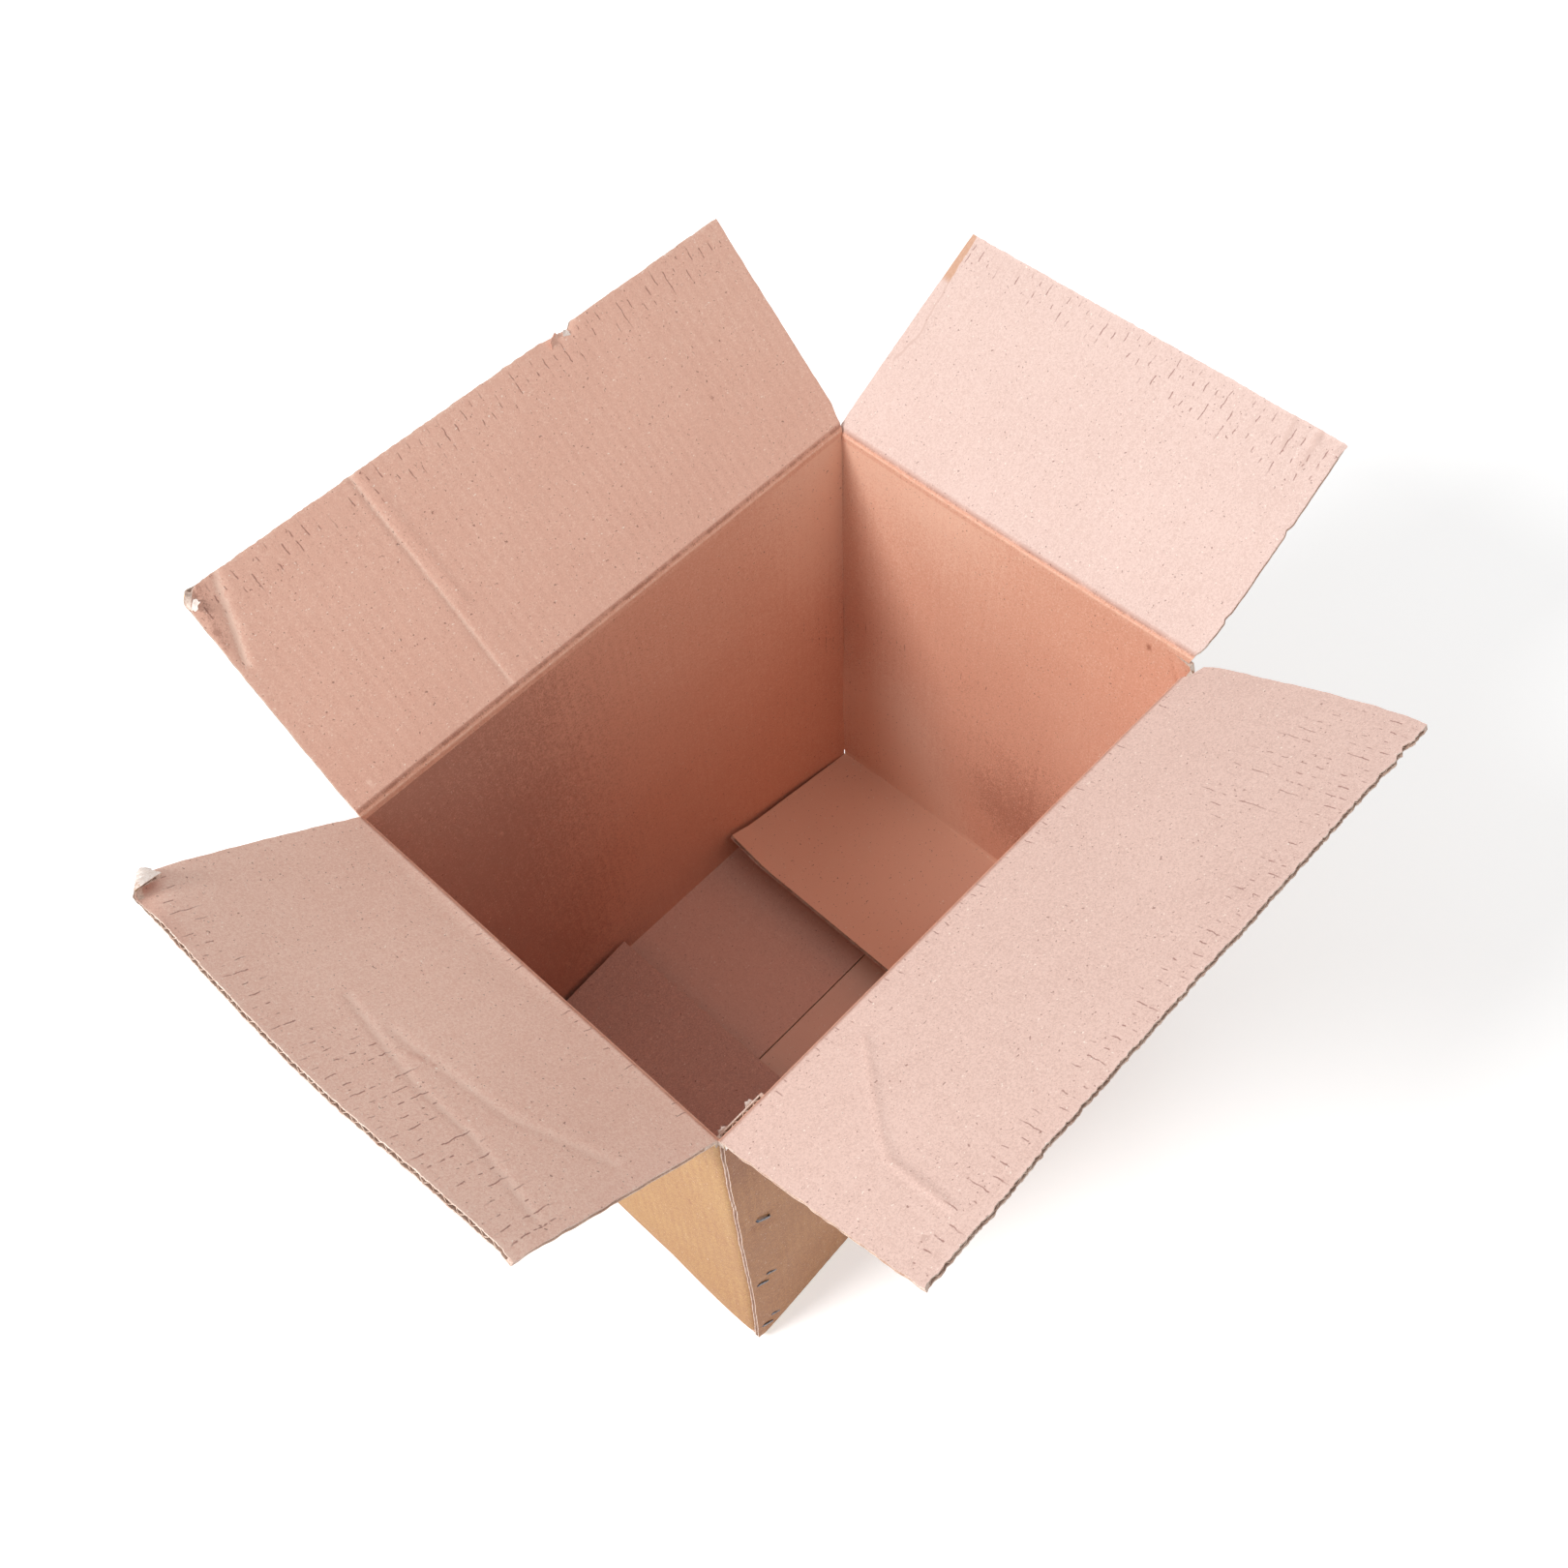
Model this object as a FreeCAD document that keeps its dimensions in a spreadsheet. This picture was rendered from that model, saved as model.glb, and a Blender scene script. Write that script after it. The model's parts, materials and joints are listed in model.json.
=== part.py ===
"""Open corrugated shipping carton with wire-stitched corner joint and free flaps.

Millimetres, +Z up. The origin is the middle of the underside. X runs along the long
walls, Y along the short ones. The front wall is at -Y and the left wall at -X.
The manufacturer's joint is at the front left corner: a tab of the left wall lies
inside the front wall, and wire stitches hold the two together.
"""
import os

import FreeCAD
import Part

# Driving sizes: cell name, value, what it is.
SIZES = [
    ("outer_length", 420.0, "long walls, outside"),
    ("outer_width", 300.0, "short walls, outside"),
    ("outer_height", 400.0, "floor to the top of the closed lid flaps"),
    ("board", 4.0, "thickness of the corrugated board"),
    ("layer_gap", 0.4, "air between layers that are folded over each other"),
    ("crease_lip", 0.2, "board left at a lid crease, at its outer face"),
    ("crease_clear", 0.4, "from a lid crease's axis to the board on each side"),
    ("seam_gap", 1.0, "between the long flaps where they meet"),
    ("long_inset", 2.0, "slot: end of a long flap to the outer corner"),
    ("short_inset", 4.5, "slot: end of a short flap to the outer corner"),
    ("root_gap", 0.3, "from a bottom crease's axis to its short flap"),
    ("tab_width", 38.0, "joint tab, from the outer corner to its free edge"),
    ("joint_setback", 0.6, "raw end of the front wall to the outer corner"),
    ("front_tilt", 65.2, "lid flap, degrees outward from upright"),
    ("back_tilt", 44.1, "lid flap, degrees outward from upright"),
    ("left_tilt", 53.4, "lid flap, degrees outward from upright"),
    ("right_tilt", 54.8, "lid flap, degrees outward from upright"),
    ("left_floor_tilt", 8.0, "loose bottom flap, degrees up from flat"),
    ("right_floor_tilt", 11.0, "loose bottom flap, degrees up from flat"),
    ("torn_corner", 8.0, "corner torn off the left lid flap"),
    ("notch_place", 69.0, "tear in the back lid flap's edge, from the middle"),
    ("notch_width", 22.0, "length of that tear along the edge"),
    ("notch_depth", 3.0, "depth of that tear"),
    ("crown_length", 17.0, "stitch, outside measure along its crown"),
    ("crown_tilt", 52.0, "stitch, degrees that its crown falls to the right"),
    ("wire_width", 2.0, "flat stitching wire"),
    ("wire_thick", 0.7, "flat stitching wire"),
    ("clinch_gap", 4.0, "between the two bent-over ends of a stitch"),
    ("slit_clear", 0.1, "around a stitch's leg in the board"),
    ("stitch_clear", 0.9, "left bottom flap to the clinched wire"),
    ("near_column", 10.3, "stitch nearer the corner, from the outer corner"),
    ("far_column", 19.6, "stitch further in, from the outer corner"),
    ("near_drop", 4.4, "the nearer stitch of a pair lies this much lower"),
    ("row_one", 25.0, "height of the lowest pair of stitches"),
    ("row_two", 114.9, "height of the second pair"),
    ("row_three", 231.4, "height of the third stitch"),
    ("top_row_drop", 50.0, "top stitch, below the top of the box"),
    ("tape_width", 48.0, "tape strip along the bottom seam"),
    ("tape_thick", 0.1, "tape strip"),
    ("tape_end", 9.0, "from the tape's end to the end of the box"),
]

# Expressions that several pieces share.
HALF_LENGTH = "Sizes.outer_length / 2"
HALF_WIDTH = "Sizes.outer_width / 2"
BOARD = "Sizes.board"
FLAP_DEPTH = "(Sizes.outer_width - Sizes.seam_gap) / 2"
LONG_AXIS = "Sizes.outer_height"
SHORT_AXIS = "Sizes.outer_height - Sizes.board - Sizes.layer_gap"
BEVEL_END = "Sizes.crease_clear + Sizes.board - Sizes.crease_lip"
SHORT_FLOOR = "2 * Sizes.board + Sizes.layer_gap"
LONG_FLAP_HALF = "Sizes.outer_length / 2 - Sizes.long_inset"
SHORT_FLAP_HALF = "Sizes.outer_width / 2 - Sizes.short_inset"
JOINT_DEPTH = "2 * Sizes.board + Sizes.layer_gap"
TAB_TOP = "Sizes.outer_height - 2 * Sizes.board - 2 * Sizes.layer_gap"
TAB_BOTTOM = "2 * Sizes.board + 2 * Sizes.layer_gap"

# Each side: turn about Z, hinge place on the wall's outer face, hinge height.
SIDES = {
    "front": ("rotationz(0)", "0", f"-{HALF_WIDTH}", LONG_AXIS),
    "right": ("rotationz(90)", HALF_LENGTH, "0", SHORT_AXIS),
    "back": ("rotationz(180)", "0", HALF_WIDTH, LONG_AXIS),
    "left": ("rotationz(-90)", f"-{HALF_LENGTH}", "0", SHORT_AXIS),
}

doc = FreeCAD.newDocument("carton")


def make_sheet():
    """The spreadsheet that drives every size."""
    sheet = doc.addObject("Spreadsheet::Sheet", "Sizes")
    for row, (name, value, note) in enumerate(SIZES, start=1):
        sheet.set(f"A{row}", name)
        sheet.set(f"B{row}", str(value))
        sheet.set(f"C{row}", note)
        sheet.setAlias(f"B{row}", name)
    doc.recompute()


def block(name, x_span, y_span, z_span):
    """A box between two expressions on each axis."""
    box = doc.addObject("Part::Box", name)
    sides = (("Length", "x", x_span), ("Width", "y", y_span), ("Height", "z", z_span))
    for size, axis, (low, high) in sides:
        box.setExpression(size, f"({high}) - ({low})")
        box.setExpression(f"Placement.Base.{axis}", low)
    return box


def crease_bevel(name, x_span, y_span, thin_at_top):
    """The 45 degree bevel of a lid crease, in the hinge's frame: outer face at Z 0."""
    wedge = doc.addObject("Part::Wedge", name)
    thick = f"-{BOARD}"
    thin = "-Sizes.crease_lip"
    for end in ("Xmin", "X2min"):
        wedge.setExpression(end, x_span[0])
    for end in ("Xmax", "X2max"):
        wedge.setExpression(end, x_span[1])
    wedge.setExpression("Ymin", y_span[0])
    wedge.setExpression("Ymax", y_span[1])
    wedge.setExpression("Zmin", thick if thin_at_top else thin)
    wedge.setExpression("Z2min", thin if thin_at_top else thick)
    wedge.Zmax = 0
    wedge.Z2max = 0
    return wedge


def fuse(name, pieces):
    """One solid from pieces that meet face to face."""
    joined = doc.addObject("Part::MultiFuse", name)
    joined.Shapes = pieces
    joined.Refine = True
    return joined


def cut(name, base, tool):
    """The base with the tool taken out."""
    rest = doc.addObject("Part::Cut", name)
    rest.Base = base
    rest.Tool = tool
    return rest


def place(piece, x, y, z, turn):
    """Bind the whole placement: a point and a rotation."""
    piece.setExpression("Placement", f"placement(vector({x}; {y}; {z}); {turn})")


def turned_block(name, spans, point, turn):
    """A box between expressions on the axes of a frame that is moved and turned."""
    box = block(name, *spans)
    low_corner = "; ".join(low for low, high in spans)
    frame = f"placement(vector({'; '.join(point)}); {turn})"
    for axis in "xyz":
        box.setExpression(f"Placement.Base.{axis}", None)
    box.setExpression("Placement", f"{frame} * placement(vector({low_corner}); rotationz(0))")
    return box


def wall(side, low_end, high_end, foot):
    """One wall, from its foot up to the bevel of its lid crease."""
    turn, x, y, axis_height = SIDES[side]
    ends = (low_end, high_end)
    flat = block(f"{side}_wall_flat", ends, (f"{foot} - ({axis_height})", f"-({BEVEL_END})"),
                 (f"-{BOARD}", "0"))
    bevel = crease_bevel(f"{side}_wall_bevel", ends, (f"-({BEVEL_END})", "-Sizes.crease_clear"), True)
    panel = fuse(f"{side}_wall", [flat, bevel])
    place(panel, x, y, axis_height, f"{turn} * rotationx(90)")
    return panel


def fold(name, low_end, length, turn):
    """A quarter round fold about an inner corner, from the low end of that corner."""
    bend = doc.addObject("Part::Cylinder", name)
    bend.Angle = 90
    bend.setExpression("Radius", BOARD)
    bend.setExpression("Height", length)
    place(bend, *low_end, turn)
    return bend


def make_walls():
    """Four walls, their corner folds and the joint tab."""
    long_end = f"{HALF_LENGTH} - {BOARD}"
    short_end = f"{HALF_WIDTH} - {BOARD}"
    joint_end = f"{HALF_WIDTH} - ({JOINT_DEPTH})"
    pieces = [
        wall("front", f"Sizes.joint_setback - {HALF_LENGTH}", long_end, BOARD),
        wall("right", f"-({short_end})", short_end, SHORT_FLOOR),
        wall("back", f"-({long_end})", long_end, BOARD),
        wall("left", f"-({short_end})", joint_end, SHORT_FLOOR),
    ]
    corner_foot = f"{BOARD} + Sizes.layer_gap"
    corner_height = f"{SHORT_AXIS} - Sizes.crease_clear - ({corner_foot})"
    corners = (("front_right", long_end, f"-({short_end})", "rotationz(-90)"),
               ("back_right", long_end, short_end, "rotationz(0)"),
               ("back_left", f"-({long_end})", short_end, "rotationz(90)"))
    for name, x, y, turn in corners:
        pieces.append(fold(f"{name}_fold", (x, y, corner_foot), corner_height, turn))
    pieces.append(fold("joint_fold", (f"-({long_end})", f"-({joint_end})", TAB_BOTTOM),
                       f"{TAB_TOP} - ({TAB_BOTTOM})", "rotationz(180)"))
    pieces.append(block("joint_tab", (f"-({long_end})", f"Sizes.tab_width - {HALF_LENGTH}"),
                        (f"{BOARD} + Sizes.layer_gap - {HALF_WIDTH}", f"-({joint_end})"),
                        (TAB_BOTTOM, TAB_TOP)))
    return pieces


def make_floor():
    """The long bottom flaps with their folds, and the folds of the short ones."""
    across = (f"-({LONG_FLAP_HALF})", LONG_FLAP_HALF)
    long_length = f"2 * ({LONG_FLAP_HALF})"
    short_length = f"2 * ({SHORT_FLAP_HALF})"
    inner_y = f"({HALF_WIDTH} - {BOARD})"
    inner_x = f"({HALF_LENGTH} - {BOARD})"
    seam = "Sizes.seam_gap / 2"
    return [
        fold("front_floor_fold", (across[0], f"-{inner_y}", BOARD), long_length,
             "rotationy(90) * rotationz(-90)"),
        fold("back_floor_fold", (across[0], inner_y, BOARD), long_length, "rotationy(90)"),
        block("front_floor", across, (f"-{inner_y}", f"-{seam}"), ("0", BOARD)),
        block("back_floor", across, (seam, inner_y), ("0", BOARD)),
        fold("right_floor_fold", (inner_x, f"-({SHORT_FLAP_HALF})", SHORT_FLOOR), short_length,
             "rotationx(-90)"),
        fold("left_floor_fold", (f"-{inner_x}", f"-({SHORT_FLAP_HALF})", SHORT_FLOOR), short_length,
             "rotationx(-90) * rotationz(90)"),
    ]


def stitch_places():
    """Name, distance from the corner and height of each wire stitch."""
    lowered = "{} - Sizes.near_drop"
    return [
        ("stitch_1_near", "Sizes.near_column", lowered.format("Sizes.row_one")),
        ("stitch_1_far", "Sizes.far_column", "Sizes.row_one"),
        ("stitch_2_near", "Sizes.near_column", lowered.format("Sizes.row_two")),
        ("stitch_2_far", "Sizes.far_column", "Sizes.row_two"),
        ("stitch_3", "Sizes.far_column", "Sizes.row_three"),
        ("stitch_4", "Sizes.far_column", "Sizes.outer_height - Sizes.top_row_drop"),
    ]


def place_on_joint(piece, column, height):
    """Put a stitch-sized thing on the front wall, its own X along the crown."""
    place(piece, f"{column} - {HALF_LENGTH}", f"-{HALF_WIDTH}", height,
          "rotationx(90) * rotationz(-Sizes.crown_tilt)")


def make_stitch(name, column, height):
    """A wire staple: crown outside, two legs through both layers, ends bent over."""
    half_crown = "Sizes.crown_length / 2"
    half_wire = "Sizes.wire_width / 2"
    wire = "Sizes.wire_thick"
    outline = block(f"{name}_outline", (f"-{half_crown}", half_crown), (f"-{half_wire}", half_wire),
                    (f"-({JOINT_DEPTH}) - {wire}", wire))
    inside = block(f"{name}_inside", (f"{wire} - {half_crown}", f"{half_crown} - {wire}"),
                   ("-Sizes.wire_width", "Sizes.wire_width"), (f"-({JOINT_DEPTH})", "0"))
    opening = block(f"{name}_opening", ("-Sizes.clinch_gap / 2", "Sizes.clinch_gap / 2"),
                    ("-Sizes.wire_width", "Sizes.wire_width"),
                    (f"-({JOINT_DEPTH}) - 2 * {wire}", f"-({BOARD})"))
    staple = cut(f"{name}_wire", outline, fuse(f"{name}_void", [inside, opening]))
    place_on_joint(staple, column, height)
    staple.Label = name
    return staple


def make_slits(name, column, height):
    """The two slits that a stitch's legs cut through wall and tab."""
    half_wire = "Sizes.wire_width / 2 + Sizes.slit_clear"
    far = "Sizes.crown_length / 2 + Sizes.slit_clear"
    near = "Sizes.crown_length / 2 - Sizes.wire_thick - Sizes.slit_clear"
    through = (f"-({JOINT_DEPTH}) - {BOARD}", BOARD)
    pair = [
        block(f"{name}_slit_a", (f"-({far})", f"-({near})"), (f"-({half_wire})", half_wire), through),
        block(f"{name}_slit_b", (near, far), (f"-({half_wire})", half_wire), through),
    ]
    slits = fuse(f"{name}_slits", pair)
    place_on_joint(slits, column, height)
    return slits


def make_carton():
    """The folded sheet: walls, joint tab and bottom, with slits and tape bed."""
    sheet = fuse("folded_sheet", make_walls() + make_floor())
    half_tape = "Sizes.tape_width / 2"
    tape_bed = block("tape_bed", (f"-({LONG_FLAP_HALF})", LONG_FLAP_HALF),
                     (f"-{half_tape}", half_tape), ("0", "Sizes.tape_thick"))
    tools = [make_slits(*stitch) for stitch in stitch_places()] + [tape_bed]
    removed = doc.addObject("Part::Compound", "slits_and_tape_bed")
    removed.Links = tools
    carton = cut("carton_body", sheet, removed)
    carton.Label = "carton"
    return carton


def make_lid_flap(side, half_span, tear=None):
    """A lid flap in its hinge's frame: closed it would run along +Y, outer face up."""
    ends = (f"-({half_span})", half_span)
    root = crease_bevel(f"{side}_flap_root", ends, ("Sizes.crease_clear", BEVEL_END), False)
    sheet = block(f"{side}_flap_sheet", ends, (BEVEL_END, FLAP_DEPTH), (f"-{BOARD}", "0"))
    flap = fuse(f"{side}_flap_board", [root, sheet])
    if tear is not None:
        flap = cut(f"{side}_flap_torn", flap, tear)
    turn, x, y, axis_height = SIDES[side]
    place(flap, x, y, axis_height, f"{turn} * rotationx(90 + Sizes.{side}_tilt)")
    flap.Label = f"{side}_flap"
    return flap


def make_corner_tear():
    """Takes the outer corner off the left lid flap, at its back end."""
    side = "Sizes.torn_corner * sqrt(2)"
    spans = (("0", side), ("0", side), (f"-2 * {BOARD}", BOARD))
    low_corner = (f"-({SHORT_FLAP_HALF})", f"{FLAP_DEPTH} - Sizes.torn_corner", "0")
    return turned_block("corner_tear", spans, low_corner, "rotationz(45)")


def make_edge_tear():
    """Takes a shallow bite out of the back lid flap's free edge."""
    middle = "-Sizes.notch_place"
    half = "Sizes.notch_width / 2"
    return block("edge_tear", (f"{middle} - {half}", f"{middle} + {half}"),
                 (f"{FLAP_DEPTH} - Sizes.notch_depth", f"{FLAP_DEPTH} + Sizes.notch_depth"),
                 (f"-2 * {BOARD}", BOARD))


def make_bottom_flap(side, low_end, high_end):
    """A loose short flap on the carton's floor, hinged at the wall's inner foot."""
    turn = SIDES[side][0]
    inner_x = f"({HALF_LENGTH} - {BOARD})"
    hinge = (inner_x if side == "right" else f"-{inner_x}", "0", SHORT_FLOOR)
    spans = ((low_end, high_end), ("Sizes.root_gap", f"{FLAP_DEPTH} - {BOARD}"), (f"-{BOARD}", "0"))
    flap = turned_block(f"{side}_bottom_sheet", spans, hinge,
                        f"{turn} * rotationx(Sizes.{side}_floor_tilt)")
    flap.Label = f"{side}_bottom_flap"
    return flap


def make_tape():
    """The strip that closes the bottom seam from below."""
    half_length = f"({HALF_LENGTH} - Sizes.tape_end)"
    half_tape = "Sizes.tape_width / 2"
    tape = block("tape_strip", (f"-{half_length}", half_length), (f"-{half_tape}", half_tape),
                 ("0", "Sizes.tape_thick"))
    tape.Label = "bottom_tape"
    return tape


def make_parts():
    """Every separate piece of the carton."""
    parts = [
        make_carton(),
        make_lid_flap("front", LONG_FLAP_HALF),
        make_lid_flap("back", LONG_FLAP_HALF, make_edge_tear()),
        make_lid_flap("left", SHORT_FLAP_HALF, make_corner_tear()),
        make_lid_flap("right", SHORT_FLAP_HALF),
        make_bottom_flap("right", f"-({SHORT_FLAP_HALF})", SHORT_FLAP_HALF),
        make_bottom_flap("left", f"-({SHORT_FLAP_HALF})",
                         f"{HALF_WIDTH} - ({JOINT_DEPTH}) - Sizes.wire_thick - Sizes.stitch_clear"),
        make_tape(),
    ]
    parts += [make_stitch(*stitch) for stitch in stitch_places()]
    return parts


def check(parts):
    """Stop if any object failed or any piece isn't one valid solid."""
    for item in doc.Objects:
        if "Invalid" in item.State or "Error" in item.State:
            raise RuntimeError(f"{item.Name} failed: {item.State}")
    for part in parts:
        shape = part.Shape
        if shape.isNull() or not shape.isValid() or len(shape.Solids) != 1:
            raise RuntimeError(f"{part.Label} isn't one valid solid")


make_sheet()
parts = make_parts()
doc.recompute()
check(parts)
os.makedirs("parts", exist_ok=True)
for part in parts:
    part.Shape.exportStep(f"parts/{part.Label}.step")
    size = part.Shape.BoundBox
    print(f"{part.Label}: {part.Shape.Volume:.0f} mm3, "
          f"{size.XLength:.1f} x {size.YLength:.1f} x {size.ZLength:.1f} mm")
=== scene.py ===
"""A used, open shipping carton of corrugated board, its lid flaps folded outward.

Each panel is modelled flat, as the board leaves the corrugator: two liners, and at every
cut across the flutes an open edge with the waved medium inside. The flat panel is then
worn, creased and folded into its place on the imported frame.

Flat panels use three measures: u along the panel's crease, v away from that crease, and
w through the board, from 0 at its outer liner to minus the board's thickness inside.
"""
import json
import math

import bpy
import numpy as np
from mathutils import Matrix, Vector


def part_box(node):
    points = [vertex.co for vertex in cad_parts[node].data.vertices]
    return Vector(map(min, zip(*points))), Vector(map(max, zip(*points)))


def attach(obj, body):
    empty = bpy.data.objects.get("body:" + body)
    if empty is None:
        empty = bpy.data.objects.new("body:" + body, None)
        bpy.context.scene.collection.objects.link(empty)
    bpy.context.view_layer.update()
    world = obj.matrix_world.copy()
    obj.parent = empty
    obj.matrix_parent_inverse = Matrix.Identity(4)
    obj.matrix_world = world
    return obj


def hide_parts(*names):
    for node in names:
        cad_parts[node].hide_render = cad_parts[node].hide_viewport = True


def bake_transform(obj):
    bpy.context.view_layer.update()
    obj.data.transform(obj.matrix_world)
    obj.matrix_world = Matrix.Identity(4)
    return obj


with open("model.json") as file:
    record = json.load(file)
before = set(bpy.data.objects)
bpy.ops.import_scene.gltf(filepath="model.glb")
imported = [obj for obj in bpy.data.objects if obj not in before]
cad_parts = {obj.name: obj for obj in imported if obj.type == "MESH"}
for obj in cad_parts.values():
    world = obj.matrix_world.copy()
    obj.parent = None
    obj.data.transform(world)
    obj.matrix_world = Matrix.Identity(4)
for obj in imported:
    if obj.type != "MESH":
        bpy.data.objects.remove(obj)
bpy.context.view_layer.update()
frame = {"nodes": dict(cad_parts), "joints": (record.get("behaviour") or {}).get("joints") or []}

MM = 0.001
BOARD = 4.0 * MM
LAYER_GAP = 0.4 * MM
LINER = 0.8 * MM
FLUTE = 7.9 * MM
COLUMNS_PER_FLUTE = 6
FOLD_RADIUS = 0.4 * MM
CREASE_STRIP = 6.0 * MM
LONG_INSET = 2.0 * MM
SHORT_INSET = 4.5 * MM
SEAM = 0.5 * MM
OPEN_EDGE = 5.0 * MM
EDGE_END = 3.0 * MM
TAB_LENGTH = 34.0 * MM
WALL_BOW = 4.0 * MM
BOW_HEIGHT = 240.0 * MM
CALM_REACH = 16.0 * MM
EDGE_ZONE = 36.0 * MM
SMOOTH_ANGLE = math.radians(38)
WHITE = (1.0, 1.0, 1.0, 1.0)

HALF_LENGTH, HALF_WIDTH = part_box("carton")[1][:2]
FLAP_DEPTH = HALF_WIDTH - SEAM
JOINTS = {joint["name"]: joint for joint in frame["joints"]}


def crease_place(name):
    """The middle of a hinged crease, in the frame."""
    return np.array(JOINTS[name]["pos_m"])


# Where each stitch dents the front wall: distance from the corner and height, in millimetres.
STITCH_PLACES = [(10.3, 20.6), (19.6, 25.0), (10.3, 110.5), (19.6, 114.9), (19.6, 231.4), (19.6, 350.0)]
# Turn of each side about Z, and half the length of its crease.
TURN = {"front": 0.0, "right": 90.0, "back": 180.0, "left": -90.0}
HALF_CREASE = {
    "front": HALF_LENGTH - LONG_INSET,
    "back": HALF_LENGTH - LONG_INSET,
    "left": HALF_WIDTH - SHORT_INSET,
    "right": HALF_WIDTH - SHORT_INSET,
}
SHORT_FLOOR = 2 * BOARD + LAYER_GAP
# The move of each wall's top at the torn front right corner, in millimetres.
TORN_CORNER = {"front": (-6.0, 2.0, -13.0), "right": (-2.0, 5.0, -3.0)}


def side_axes(side):
    """Rows are a side's u, v and w directions, with v upright."""
    turn = Matrix.Rotation(math.radians(TURN[side]), 3, "Z") @ Matrix.Rotation(math.pi / 2, 3, "X")
    return np.array(turn).T


# Shaping functions on arrays of u, v and w.

def smooth(x):
    """Goes from 0 to 1 as x does, level at both ends."""
    x = np.clip(x, 0.0, 1.0)
    return x * x * (3.0 - 2.0 * x)


def ridge(gap, width):
    """1 on a line and falling softly to 0 beside it."""
    return np.exp(-(gap / width) ** 2)


def waves(seed, u, v, size):
    """Soft random height between -1 and 1, with bumps of the given size."""
    lattice = np.random.default_rng(seed).uniform(-1.0, 1.0, (64, 64))
    a = u / size + 0.37
    b = v / size + 0.61
    i = np.floor(a).astype(int)
    j = np.floor(b).astype(int)
    p = smooth(a - i)
    q = smooth(b - j)

    def row(j):
        return lattice[i % 64, j % 64] * (1 - p) + lattice[(i + 1) % 64, j % 64] * p

    return row(j) * (1 - q) + row(j + 1) * q


def distance_to_line(points_mm, u, v):
    """Distance in metres from each place to a bent line given in millimetres."""
    best = np.full(len(u), 1.0)
    for (u0, v0), (u1, v1) in zip(points_mm[:-1], points_mm[1:]):
        start = np.array((u0, v0)) * MM
        along = np.array((u1, v1)) * MM - start
        t = ((u - start[0]) * along[0] + (v - start[1]) * along[1]) / (along @ along)
        t = np.clip(t, 0.0, 1.0)
        gap = np.hypot(u - start[0] - t * along[0], v - start[1] - t * along[1])
        best = np.minimum(best, gap)
    return best


def add_lines(level, lines, u, v):
    """Add a soft ridge along each line to a level."""
    for points_mm, depth, width in lines:
        level = level + depth * ridge(distance_to_line(points_mm, u, v), width)
    return level


def fold(a, w, start, turn, radius=FOLD_RADIUS, thick=BOARD):
    """Fold the board at start towards its inner side (turn above 0) or its outer side."""
    if turn < 0:
        a, mirrored = fold(a, -thick - w, start, -turn, radius, thick)
        return a, -thick - mirrored
    arc = (radius + thick / 2) * turn
    beyond = np.clip(a - start, 0.0, None)
    angle = np.minimum(beyond / arc, 1.0) * turn
    reach = w + thick + radius
    straight = np.clip(beyond - arc, 0.0, None)
    folded_a = start + reach * np.sin(angle) + straight * math.cos(turn)
    folded_w = reach * np.cos(angle) - thick - radius - straight * math.sin(turn)
    past = a > start
    return np.where(past, folded_a, a), np.where(past, folded_w, w)


def bend_corner(u, v, w, corner_mm, toward, turn, radius, thick):
    """Bend a corner over a line through corner_mm that lies square to the toward direction."""
    n = np.array(toward) / math.hypot(*toward)
    s = (u - corner_mm[0] * MM) * n[0] + (v - corner_mm[1] * MM) * n[1]
    bent, w = fold(s, w, 0.0, turn, radius, thick)
    return u + (bent - s) * n[0], v + (bent - s) * n[1], w


def washboard(u, w, height):
    """The flutes showing through both liners."""
    inner = np.clip(-w / BOARD, 0.0, 1.0)
    wave = np.cos(2 * math.pi * u / FLUTE)
    return -height * wave * inner + height * wave * (1 - inner)


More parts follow.
